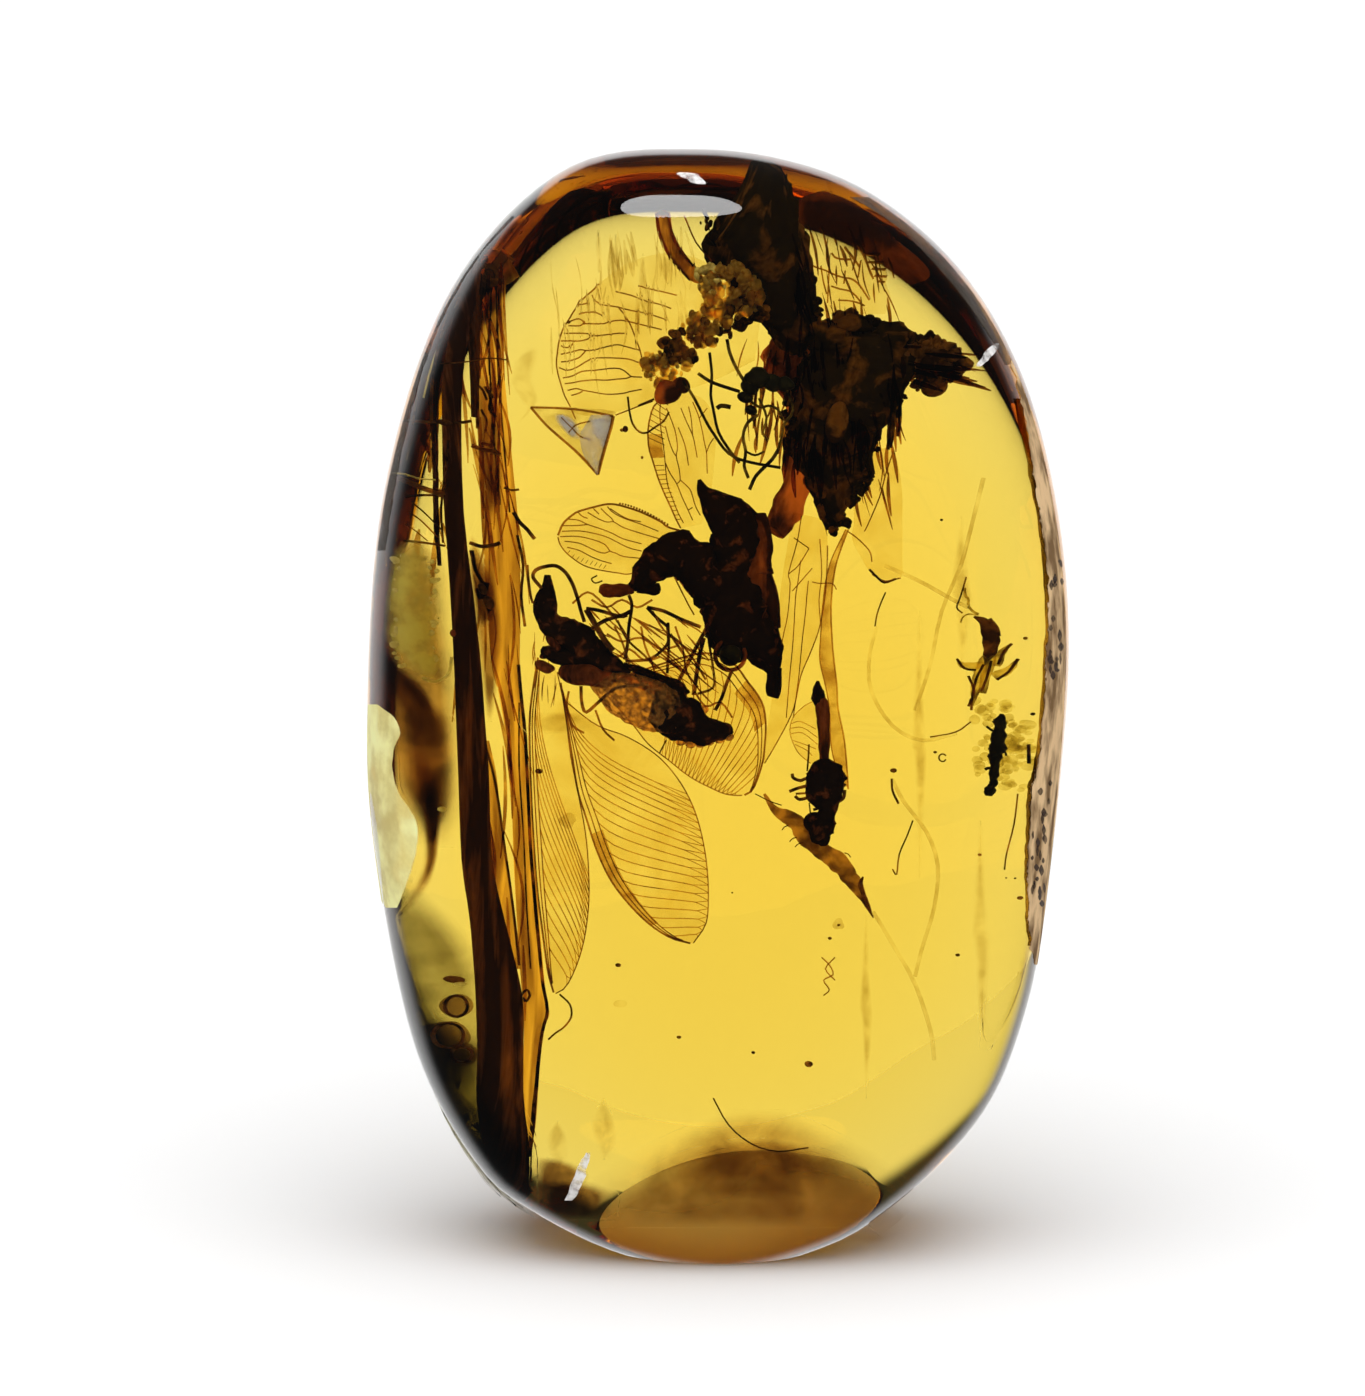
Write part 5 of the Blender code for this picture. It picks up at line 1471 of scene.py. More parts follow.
def leaf_scrap(looks):
    """Thin brown scrap of leaf under the gnat, with a splinter at its end."""
    leaf, splinter = Shape(), Shape()
    leaf.tube([
        (1.24, 12.2, 0.2, 0.03), (1.5, 11.8, 0.2, 0.1), (1.83, 11.6, 0.2, 0.19), (2.14, 11.37, 0.2, 0.23),
        (2.42, 11.01, 0.2, 0.24), (2.73, 10.74, 0.2, 0.22), (3.05, 10.51, 0.2, 0.24),
        (3.32, 10.24, 0.2, 0.25), (3.55, 9.93, 0.2, 0.21), (3.73, 9.65, 0.2, 0.15),
        (3.86, 9.43, 0.2, 0.1), (4.0, 9.16, 0.2, 0.05), (4.11, 8.93, 0.2, 0.01),
    ], sides=14, flat=0.25, rough=0.25, grain=3.0)
    splinter.tube([
        (3.84, 10.02, 0.1, 0.02), (3.77, 9.79, 0.1, 0.06), (3.95, 9.3, 0.1, 0.05),
        (4.11, 8.95, 0.1, 0.01),
    ], sides=6, rough=0.3)
    for across, up, way in (
        (2.1, 11.06, -0.12), (2.27, 10.92, -0.14), (1.87, 11.37, -0.1), (3.35, 10.65, 0.1),
    ):
        places = ((across, up), (across + way, up - 0.04), (across + 1.6 * way, up - 0.12))
        splinter.line(places, 0.1, 0.015)
    dress("leaf_scrap", "leaf", looks, blade=(leaf, "leaf"), splinter=(splinter, "leaf_dark"))


def seed_husk(looks):
    """Spiky husk of a seed above the small beetle."""
    deep = 0.5
    blade, spikes = Shape(), Shape()
    blade.limb(deep, [
        (6.75, 16.86, 0.03), (6.98, 16.74, 0.1), (7.13, 16.5, 0.15), (7.2, 16.2, 0.16),
        (7.17, 15.95, 0.13), (7.1, 15.75, 0.07), (7.05, 15.6, 0.02),
    ], sides=12, flat=0.4, rough=0.3, grain=4.0)
    blade.limb(deep, [
        (7.1, 16.78, 0.08), (7.3, 16.55, 0.07), (7.43, 16.34, 0.02),
    ], sides=8, flat=0.5)
    spikes.line(((6.5, 17.62), (6.53, 17.4), (6.6, 17.32), (6.6, 17.15), (6.72, 17.0), (6.87, 16.92)),
                deep, 0.03)
    spikes.line(((6.4, 16.7), (6.46, 16.84), (6.6, 16.92), (6.87, 16.9)), deep, 0.02)
    for stations in (
        ((7.73, 16.15, 0.01), (7.56, 16.0, 0.07), (7.45, 15.85, 0.09), (7.35, 15.56, 0.08)),
        ((7.9, 15.75, 0.01), (7.7, 15.5, 0.09), (7.5, 15.38, 0.12), (7.27, 15.28, 0.1)),
        ((6.3, 15.75, 0.01), (6.44, 15.58, 0.07), (6.7, 15.55, 0.09), (7.03, 15.62, 0.06)),
        ((7.13, 15.95, 0.06), (6.95, 15.5, 0.12), (6.83, 15.15, 0.13), (6.7, 14.5, 0.02)),
        ((7.22, 15.85, 0.08), (7.1, 15.4, 0.1), (6.95, 14.85, 0.07)),
    ):
        spikes.limb(deep, stations, flat=0.5, rough=0.4, grain=5.0)
    edges = Shape()
    for places in (
        ((7.73, 16.15), (7.52, 15.92), (7.38, 15.6)), ((7.9, 15.75), (7.66, 15.42), (7.35, 15.2)),
        ((6.3, 15.75), (6.5, 15.5), (6.8, 15.45)), ((7.0, 15.6), (6.8, 15.2), (6.7, 14.7), (6.68, 14.4)),
        ((7.2, 15.7), (7.1, 15.3), (6.95, 14.9)), ((6.6, 15.3), (6.75, 14.9), (6.6, 14.5)),
    ):
        edges.line(places, deep - 0.08, 0.03)
    dress("seed_husk", "leaf", looks,
        blade=(blade, "leaf_dark"), spikes=(spikes, "husk"), edges=(edges, "leg"),
    )


def plant_looks():
    """Make the materials of the plant scraps."""
    along = (1.0, 1.0, 14.0)
    return {
        "stem_dark": tissue(
            "stem_dark", (0.025, 0.008, 0.003), (0.3, 0.1, 0.04), 4.5, along, edge=(0.46, 0.74),
            clear=(0.1, 0.8)),
        "stem_pale": tissue(
            "stem_pale", (0.36, 0.15, 0.025), (0.95, 0.6, 0.16), 4.5, along, edge=(0.34, 0.62),
            clear=(0.75, 1.0)),
        "bark": tissue(
            "bark", (0.014, 0.008, 0.003), (0.34, 0.13, 0.02), 1.1, edge=(0.52, 0.8), clear=(0.0, 0.95)),
        "bark_brown": tissue(
            "bark_brown", (0.02, 0.008, 0.003), (0.4, 0.17, 0.04), 1.6, edge=(0.42, 0.68),
            clear=(0.0, 0.7)),
        "needle": tissue(
            "needle", (0.14, 0.035, 0.006), (0.62, 0.27, 0.06), 2.0, (1, 1, 4), edge=(0.4, 0.65),
            clear=(0.6, 1.0)),
        "crumb": tissue(
            "crumb", (0.2, 0.08, 0.012), (0.95, 0.66, 0.24), 2.4, edge=(0.34, 0.58), clear=(0.35, 0.95)),
        "frost": mottled("frost", (0.3, 0.2, 0.08), (0.7, 0.62, 0.42), 3.0, bump=0.05),
        "leaf": tissue(
            "leaf", (0.14, 0.06, 0.015), (0.5, 0.25, 0.07), 2.5, edge=(0.35, 0.65), clear=(0.4, 0.9)),
        "husk": tissue(
            "husk", (0.16, 0.1, 0.02), (0.75, 0.6, 0.2), 2.5, edge=(0.35, 0.6), clear=(0.4, 0.95)),
        "leaf_dark": tissue(
            "leaf_dark", (0.05, 0.02, 0.005), (0.4, 0.16, 0.04), 1.8, edge=(0.4, 0.7), clear=(0.0, 0.7)),
    }


def rim_shade_veils():
    """Painted shade: a dark band inside the upper left edge."""
    painted_shade = Shape()
    painted_shade.ribbon((
        (26.4, -6.3, -6.1), (25.9, -6.7, -6.2), (24.5, -7.4, -6.6), (23.0, -7.95, -7.0),
        (21.9, -8.3, -7.25), (20.8, -8.5, -7.8), (19.9, -8.65, -8.15), (18.8, -8.8, -8.45),
        (18.2, -8.8, -8.65),
    ), 1.0, 0.05, soft=True, columns=13)
    painted_shade.ribbon((
        (25.2, -7.0, -6.6), (24.0, -7.45, -7.0), (22.8, -7.8, -7.45), (21.8, -8.0, -7.75),
        (21.0, -8.2, -8.1),
    ), 0.6, 0.05, soft=True, columns=13)
    return painted_shade


def edge_shade_veils():
    """Painted shade that thickens towards the lower left edge."""
    painted_edge_shade = Shape()
    painted_edge_shade.ribbon((
        (10.6, -9.6, -8.4), (9.6, -9.5, -7.6), (8.2, -9.3, -6.2), (6.6, -9.0, -5.6), (5.4, -8.9, -5.4),
        (4.3, -8.5, -5.2), (3.1, -8.0, -4.7), (2.2, -7.2, -4.7), (1.2, -6.4, -4.7),
    ), 0.9, 0.05, columns=15, soft=True)
    painted_edge_shade.ribbon((
        (9.6, -9.6, -8.2), (8.2, -9.6, -7.6), (7.0, -9.4, -7.2), (6.0, -9.2, -6.6), (5.2, -8.9, -5.8),
        (4.3, -8.5, -5.4), (3.1, -8.0, -4.8), (2.2, -7.2, -4.7), (1.2, -6.4, -4.7),
    ), 0.7, 0.05, columns=15, soft=True)
    painted_edge_shade.ribbon((
        (8.2, -9.4, -8.0), (6.6, -9.2, -7.2), (5.5, -8.9, -6.4), (4.4, -8.4, -5.6), (3.1, -7.8, -4.8),
        (2.2, -7.0, -4.7), (1.2, -6.2, -4.7),
    ), 0.5, 0.05, columns=15, soft=True)
    painted_edge_shade.ribbon((
        (6.4, -7.8, -6.6), (5.2, -8.0, -6.1), (4.2, -7.9, -5.9), (3.2, -7.6, -5.6), (2.4, -7.0, -5.1),
        (1.6, -6.4, -4.8),
    ), 0.1, 0.05, columns=15, soft=True)
    painted_edge_shade.ribbon((
        (6.0, -8.6, -7.4), (4.3, -8.4, -6.0), (3.1, -7.8, -4.8), (2.2, -7.0, -4.7), (1.0, -6.2, -4.7),
    ), 0.3, 0.05, columns=15, soft=True)
    return painted_edge_shade


def brown_veils():
    """Brown stains and rings left of the stems, and two more at the foot."""
    brown = Shape()
    brown.ribbon((
        (16.6, -9.1, -8.9), (16.1, -9.1, -8.7), (15.7, -9.1, -8.35), (15.3, -9.0, -7.95),
        (14.9, -8.75, -7.6), (14.4, -8.5, -7.2), (14.0, -8.45, -6.9), (13.2, -8.35, -6.8),
        (12.4, -8.3, -6.8), (11.8, -8.0, -6.95), (11.2, -7.75, -7.25), (10.5, -7.7, -7.35),
        (9.9, -7.9, -7.5), (9.3, -8.3, -7.9), (8.9, -8.6, -8.3),
    ), 0.8, 0.05, columns=11, soft=True)
    brown.ribbon((
        (15.9, -8.9, -8.5), (15.4, -8.6, -8.0), (14.9, -8.2, -7.6), (14.5, -7.9, -7.4),
        (14.2, -7.6, -7.3),
    ), 0.5, 0.05, soft=True)
    brown.ribbon((
        (13.6, -8.1, -7.7), (12.6, -8.0, -7.3), (11.4, -7.6, -7.3), (10.4, -7.6, -7.4), (9.7, -7.9, -7.7),
    ), 0.6, 0.05, soft=True)
    brown.ribbon((
        (19.0, -6.5, -6.4), (18.4, -6.5, -6.1), (17.6, -6.45, -5.8), (16.9, -6.3, -5.9),
        (16.6, -6.2, -6.1),
    ), 0.9, 0.05, soft=True)
    brown.ribbon((
        (19.2, -8.3, -7.9), (18.2, -9.0, -7.0), (17.0, -9.2, -6.9), (15.6, -9.2, -6.7),
        (14.2, -9.2, -6.6), (13.0, -9.0, -6.6), (11.8, -8.6, -6.6), (10.8, -8.0, -6.9),
    ), 1.1, 0.05, columns=13, soft=True)
    brown.ribbon((
        (21.6, -8.3, -7.5), (20.6, -8.6, -7.6), (19.6, -8.7, -7.8), (18.6, -8.9, -8.1),
        (17.6, -9.0, -8.4),
    ), 1.3, 0.05, columns=13, soft=True)
    for across, up, size in ((-6.85, 6.62, 0.3), (-7.05, 5.85, 0.38), (-6.7, 5.35, 0.28)):
        brown.lump((across, up, 0.1), (size, 0.1, size), rough=0.2)
    for up, left, right, deep in ((2.3, -4.9, -3.4, -1.0), (1.7, -4.9, -2.6, -1.2)):
        brown.ribbon((
            (up + 0.35, left, right - 0.7), (up, left, right), (up - 0.4, left, right),
            (up - 0.7, left + 0.4, right),
        ), deep, 0.05, columns=13, soft=True)
    return brown


def dimpled_bubble():
    """Pale flattened bubble at the left."""
    bubble = Shape()
    bubble.ribbon((
        (18.9, -8.25, -7.7), (18.6, -8.5, -7.5), (18.2, -8.6, -7.35), (17.4, -8.72, -7.25),
        (16.5, -8.75, -7.2), (15.9, -8.65, -7.12), (15.4, -8.35, -7.05), (15.1, -8.0, -7.2),
    ), 0.2, 0.04, bow=0.3, columns=13, soft=True)
    return bubble


def highlight_specks_and_splinters():
    """Painted highlights as white specks on the bubble, and bright splinters round it."""
    specks = Shape()
    pick = random.Random(11)
    for _ in range(70):
        place = (pick.uniform(-8.5, -7.3), pick.uniform(15.5, 18.4), 0.0)
        size = pick.uniform(0.025, 0.08)
        radii = (size, 0.4 * size, size * pick.uniform(0.8, 1.6))
        specks.lump(place, radii, pick.uniform(0, 3), 0.3, 6.0, 6, 8)
    specks.line(((-7.75, 15.25), (-7.4, 15.15), (-7.05, 15.35), (-6.97, 15.8)), 0.0, 0.04)
    specks.line(((-8.6, 20.62), (-8.2, 20.6), (-7.9, 20.5), (-7.4, 20.45)), 0.3, 0.02)
    specks.line(((-7.3, 24.0), (-7.5, 23.4), (-7.7, 22.6)), 0.4, 0.012)
    # Two painted highlights lower down, as small white dots.
    specks.lump((-6.75, 7.2, 0.0), (0.13, 0.05, 0.06), rough=0.2)
    specks.lump((-7.24, 11.8, 0.0), (0.08, 0.04, 0.06), rough=0.3)
    return specks


def left_cracks():
    """Dark rings, cracks and cross fibres along the left side."""
    cracks = Shape()
    cracks.lump((-6.9, 7.32, 0.1), (0.2, 0.06, 0.09), 0.1, rough=0.2)
    for across, up, wide, high in (
        (-6.85, 6.62, 0.3, 0.28), (-7.05, 5.85, 0.4, 0.32), (-6.7, 5.35, 0.28, 0.2),
    ):
        cracks.line(oval(across, up, wide, high, np.linspace(0, 2 * math.pi, 13)), 0.0, 0.035)
    cracks.lump((-7.13, 21.95, -0.1), (0.16, 0.06, 0.08), rough=0.3)
    cracks.lines(0.0, (
        (0.035, (-8.3, 22.0), (-7.8, 21.98), (-7.3, 21.97), (-6.8, 21.95), (-6.45, 22.0)),
        (0.07, (-8.35, 20.5), (-7.9, 20.3), (-7.5, 20.15), (-7.15, 20.12)),
        (0.03, (-8.2, 20.0), (-7.7, 20.05), (-7.2, 20.02)),
        (0.05, (-6.45, 21.35), (-6.15, 21.25), (-5.9, 21.2), (-5.7, 21.1)),
        (0.04, (-6.2, 21.42), (-5.95, 21.35)), (0.03, (-5.6, 20.25), (-5.4, 20.18), (-5.2, 20.2)),
        (0.03, (-8.25, 18.85), (-7.7, 18.8), (-7.15, 18.72)),
        (0.05, (-6.5, 18.8), (-6.2, 18.7), (-5.85, 18.74), (-5.7, 18.8)),
        (0.015, (-7.26, 23.5), (-6.6, 23.55), (-6.0, 23.65), (-5.5, 23.6)),
        (0.02, (-8.1, 19.6), (-7.8, 19.4), (-7.5, 19.1), (-7.3, 18.9)),
        (0.02, (-8.0, 19.85), (-7.7, 19.6), (-7.4, 19.3), (-7.2, 19.1)),
        (0.015, (-8.2, 19.3), (-7.9, 19.1), (-7.6, 18.85)),
        (0.03, (-6.3, 22.95), (-6.15, 22.8), (-6.05, 22.55)), (0.03, (-6.0, 22.8), (-5.9, 22.6)),
        (0.03, (-7.2, 24.4), (-7.4, 23.6), (-7.5, 22.8), (-7.5, 22.0)),
        (0.025, (-7.75, 23.3), (-7.9, 22.6), (-8.0, 21.9)),
        (0.025, (-7.05, 21.5), (-7.15, 20.6), (-7.25, 19.7), (-7.2, 18.8)),
        (0.05, (-5.35, 19.6), (-5.2, 19.35), (-5.0, 19.15), (-4.8, 18.9)),
        (0.035, (-5.25, 19.0), (-5.1, 18.2), (-5.15, 17.4), (-5.05, 16.6)),
    ))
    for across, up in ((-6.16, 17.6), (-6.0, 17.24)):
        cracks.lump((across, up, 0.0), (0.1, 0.06, 0.17), -0.4, rough=0.3)
    return cracks


def veils(looks):
    """Veils of painted shade and brown stains, a dimpled bubble, painted highlights, rings and cracks along
    the left side.
    """
    for name, shape, look in (
        ("painted_shade", rim_shade_veils(), "painted_shade"), ("painted_edge_shade", edge_shade_veils(), "painted_edge_shade"),
        ("brown", brown_veils(), "brown_veil"), ("bubble", dimpled_bubble(), "bubble"),
        ("cracks", left_cracks(), "leg"), ("specks", highlight_specks_and_splinters(), "highlight_and_splinter_film"),
    ):
        add_piece(f"left_{name}", shape.mesh(f"left_{name}", looks[look]), "bark")


def rinds(looks):
    """Weathered rind on the right side with small dark pits, a painted dark line of shade at its inner
    edge, painted sheen and shade along the upper left and upper right bevels, a painted glint on the left,
    chips, and a painted highlight at the top.
    """
    crust, line, bevel, chips, painted_glint = Shape(), Shape(), Shape(), Shape(), Shape()
    pick = random.Random(8)
    pits = Shape()
    for _ in range(46):
        up = pick.choice((pick.uniform(15.2, 18.4), pick.uniform(9.2, 12.6)))
        high = pick.uniform(0.05, 0.16)
        inner = np.interp(up, (9, 11, 13, 16, 18.4), (8.25, 8.28, 8.55, 8.75, 8.75))
        across = inner + pick.uniform(0.0, 0.35)
        wide = pick.uniform(0.03, 0.07)
        pits.rind((
            (up + high, across - 0.01, across + 0.01), (up, across - wide, across + wide),
            (up - high, across - 0.01, across + 0.01),
        ), columns=3, ragged=0.02, proud=0.006)
    # Painted glint: a bright crescent along the left edge.
    painted_glint.rind((
        (14.55, -9.5, -8.95), (14.2, -9.5, -8.5), (13.8, -9.5, -8.35), (13.4, -9.5, -8.5),
        (12.9, -9.5, -8.55), (12.3, -9.5, -8.42), (11.8, -9.5, -8.1), (11.4, -9.5, -7.9),
        (10.8, -9.4, -7.9), (10.2, -9.3, -8.05), (9.7, -9.1, -8.22), (9.2, -8.7, -8.42),
    ), steps=8, columns=9, ragged=0.015)
    crust.rind((
        (23.6, 7.72, 9.5), (22.0, 8.12, 9.5), (20.0, 8.42, 9.5), (18.1, 8.68, 9.5), (17.4, 8.72, 9.5),
        (16.4, 8.7, 9.5), (15.4, 8.63, 9.5), (14.1, 8.56, 9.5), (12.9, 8.43, 9.5), (12.3, 8.27, 9.5),
        (11.4, 8.23, 9.5), (10.4, 8.17, 9.5), (9.8, 8.17, 9.5), (8.8, 8.2, 9.5), (8.2, 8.26, 9.5),
        (7.7, 8.38, 9.5),
    ), steps=10, columns=13, ragged=0.08)
    # Painted shade: a dark line along the right rim, at the crust's inner edge.
    line.rind((
        (22.6, 7.8, 7.98), (20.0, 8.33, 8.45), (18.1, 8.58, 8.7), (16.4, 8.62, 8.72), (14.1, 8.48, 8.58),
        (12.9, 8.33, 8.45), (12.3, 8.16, 8.3), (11.4, 8.15, 8.25), (10.4, 8.1, 8.19), (8.8, 8.13, 8.22),
        (8.2, 8.2, 8.27),
    ), steps=8, columns=4, ragged=0.04)
    # Painted grey sheen and shade along the upper left and upper right bevels.
    bevel.rind((
        (27.4, -9.5, -5.35), (26.4, -9.5, -6.25), (25.0, -9.5, -7.1), (23.6, -9.5, -7.68),
        (22.2, -9.5, -8.08), (20.8, -9.5, -8.4), (19.6, -9.5, -8.6), (18.6, -9.5, -8.75),
    ), steps=8, columns=5, ragged=0.03)
    bevel.rind((
        (27.9, 3.55, 9.5), (27.2, 4.65, 9.5), (26.3, 5.6, 9.5), (25.3, 6.45, 9.5), (24.3, 7.15, 9.5),
        (23.5, 7.6, 9.5),
    ), steps=8, columns=5, ragged=0.03)
    # Painted highlight: a small white spot at the top.
    chips.rind(((28.55, -1.0, -0.8), (28.5, -1.05, -0.5), (28.35, -0.75, -0.35), (28.25, -0.5, -0.3)),
               columns=4, ragged=0.08)
    chips.rind(((2.75, -3.45, -3.35), (2.4, -3.65, -3.42), (1.9, -3.85, -3.55), (1.5, -4.0, -3.8)),
               columns=4, ragged=0.05)
    chips.rind(((24.05, 7.3, 7.42), (23.85, 7.1, 7.35), (23.6, 6.9, 7.1), (23.45, 6.85, 6.95)), columns=4,
               ragged=0.05)
    for name, shape, look in (
        ("crust", crust, "crust"), ("line", line, "painted_shade"), ("bevel", bevel, "painted_sheen_and_shade"),
        ("chips", chips, "scratch_and_highlight"), ("painted_glint", painted_glint, "painted_glint"), ("pits", pits, "dusk_film"),
    ):
        add_piece(f"rind_{name}", shape.mesh(f"rind_{name}", looks[look]), "amber")


def chip(looks):
    """Bent three-cornered flake beside the lacewing wings, with a fainter one above it."""
    flake, faint, edges = Shape(), Shape(), Shape()
    flake.ribbon((
        (22.16, -3.3, -2.75), (21.9, -3.45, -2.79), (21.6, -3.6, -2.86), (21.1, -3.5, -3.0),
        (20.6, -3.17, -3.12),
    ), -4.1, 0.02, bow=0.15, columns=9)
    flake.ribbon((
        (22.2, -4.3, -3.9), (22.0, -4.25, -3.7), (21.7, -4.0, -3.5), (21.5, -3.8, -3.5),
    ), -4.0, 0.02, bow=0.15, columns=9, soft=True)
    faint.ribbon((
        (23.95, -4.95, -4.7), (23.6, -5.3, -4.7), (23.1, -5.45, -4.85), (22.6, -5.2, -4.7),
        (22.3, -5.0, -4.85), (21.95, -5.3, -5.2),
    ), -3.8, 0.02, soft=True)
    faint.ribbon((
        (22.38, -4.9, -4.2), (22.27, -4.82, -2.78), (22.1, -4.66, -2.73), (21.6, -4.15, -2.86),
        (21.1, -3.66, -3.0), (20.6, -3.17, -3.12),
    ), -3.9, 0.02, bow=0.15, columns=9)
    edges.lines(-4.15, (
        (0.03, (-4.9, 22.36), (-4.2, 22.34), (-3.5, 22.28), (-2.73, 22.13)),
        (0.045, (-2.73, 22.13), (-2.8, 21.8), (-2.95, 21.3), (-3.14, 20.59)),
        (0.035, (-4.9, 22.36), (-4.5, 21.9), (-4.05, 21.5), (-3.6, 21.1), (-3.14, 20.59)),
        (0.02, (-4.1, 22.1), (-3.8, 21.8), (-3.6, 21.6), (-3.3, 21.5)),
        (0.02, (-3.9, 21.7), (-3.7, 21.9), (-3.3, 22.0), (-2.9, 22.05)),
    ))
    for name, shape, look in (
        ("flake", flake, "flake"), ("faint", faint, "haze"), ("edges", edges, "vein"),
    ):
        add_piece(f"chip_{name}", shape.mesh(f"chip_{name}", looks[look]), "crumb")


def red_heads():
    """Red head by the crumb, and three smaller ones."""
    head = Shape()
    head.lump((-1.3, 22.75, -1.9), (0.36, 0.3, 0.3), rough=0.3, grain=3.0)
    head.lump((-0.95, 22.95, -1.9), (0.25, 0.2, 0.2), rough=0.4, grain=3.0)
    for across, up, size in ((-2.41, 21.79, 0.07), (-1.97, 21.04, 0.035), (-6.94, 16.42, 0.07)):
        head.lump((across, up, -1.5), (size, size, 1.2 * size), rings=7, turns=9)
    return head


def loose_hairs():
    """Curved hairs and threads all over the stone."""
    hairs = Shape()
    for radius, deep, *places in (
        (0.027, -1.9, (-2.35, 22.64), (-2.3, 22.24), (-2.22, 21.93), (-2.05, 21.72), (-1.85, 21.69),
         (-1.64, 21.83), (-1.4, 22.0), (-1.26, 22.24)),
        (0.03, -1.9, (-1.65, 22.58), (-2.07, 22.4)),
        (0.02, -0.6, (5.6, 13.69), (6.27, 13.82), (6.67, 14.09)),
        (0.03, -0.6, (8.18, 13.5), (8.19, 13.0)),
        (0.03, -1.0, (4.59, 12.6), (4.61, 12.28), (4.77, 11.94)),
        (0.02, -1.0, (4.61, 10.22), (4.725, 10.08), (4.79, 10.6), (5.0, 11.1), (5.15, 11.5)),
        (0.025, -1.5, (-4.14, 6.93), (-3.87, 6.66), (-3.84, 6.33), (-4.04, 6.06), (-4.24, 5.92),
         (-4.44, 5.74)),
        (0.018, -1.5, (2.75, 7.9), (2.95, 7.7), (3.05, 7.45), (2.8, 7.3), (2.95, 7.05), (2.8, 6.9)),
        (0.018, -1.5, (3.1, 7.9), (2.85, 7.6), (3.1, 7.3)),
        (0.02, -1.5, (-3.15, 17.94), (-3.3, 17.85), (-3.2, 17.74), (-3.01, 17.8)),
        (0.02, -0.5, (4.43, 17.5), (4.3, 17.2), (4.2, 16.9), (4.15, 16.6)),
        (0.02, -0.5, (6.55, 17.9), (6.4, 17.4), (6.3, 17.1), (6.45, 16.95)),
        (0.015, -0.8, (1.0, 12.2), (1.4, 12.0), (1.7, 11.9)),
        (0.015, -0.8, (7.9, 12.2), (7.8, 11.4), (7.6, 10.6), (7.55, 10.2)),
        (0.02, -0.8, (-0.1, 4.2), (0.3, 3.5), (0.9, 3.0), (1.6, 2.8), (2.4, 2.9)),
        (0.03, 0.2, (4.0, 18.1), (4.2, 17.9), (4.4, 17.75), (4.7, 17.85)),
    ):
        hairs.line(places, deep, radius)
    hairs.line(oval(5.93, 13.15, 0.1, 0.1, np.linspace(0.5, 5.8, 9)), -0.6, 0.02)
    return hairs


def beetle_froth():
    """Froth of small bubbles round the beetle."""
    froth = Shape()
    pick = random.Random(3)
    for _ in range(120):
        up = pick.gauss(13.4, 0.6)
        place = (pick.gauss(7.6 - 0.1 * (up - 13.4), 0.36), up, pick.uniform(-0.7, -0.2))
        size = pick.uniform(0.04, 0.13)
        froth.lump(place, (size, 0.4 * size, size), pick.uniform(0, 3), 0.35, 4.0, 8, 11)
    return froth


def dust_specks():
    """Dark specks of dust."""
    dust = Shape()
    for across, up, size in (
        (5.73, 13.29, 0.04), (8.1, 16.29, 0.05), (8.3, 14.3, 0.05), (7.96, 9.46, 0.05),
        (6.32, 7.96, 0.05), (7.6, 9.99, 0.03), (7.83, 9.98, 0.03), (4.63, 12.82, 0.07), (3.2, 8.75, 0.04),
        (2.42, 5.1, 0.09), (-2.6, 7.7, 0.07), (2.97, 8.41, 0.05), (-2.5, 21.76, 0.05),
        (-4.67, 12.79, 0.08), (0.95, 5.4, 0.05), (-1.0, 5.8, 0.06), (0.4, 9.6, 0.03), (6.9, 10.6, 0.04),
        (-3.9, 24.6, 0.04), (5.9, 19.4, 0.04),
    ):
        dust.lump((across, up, -1.2), (size, 0.6 * size, 0.8 * size), rough=0.5, grain=5.0, rings=6,
                  turns=8)
    return dust


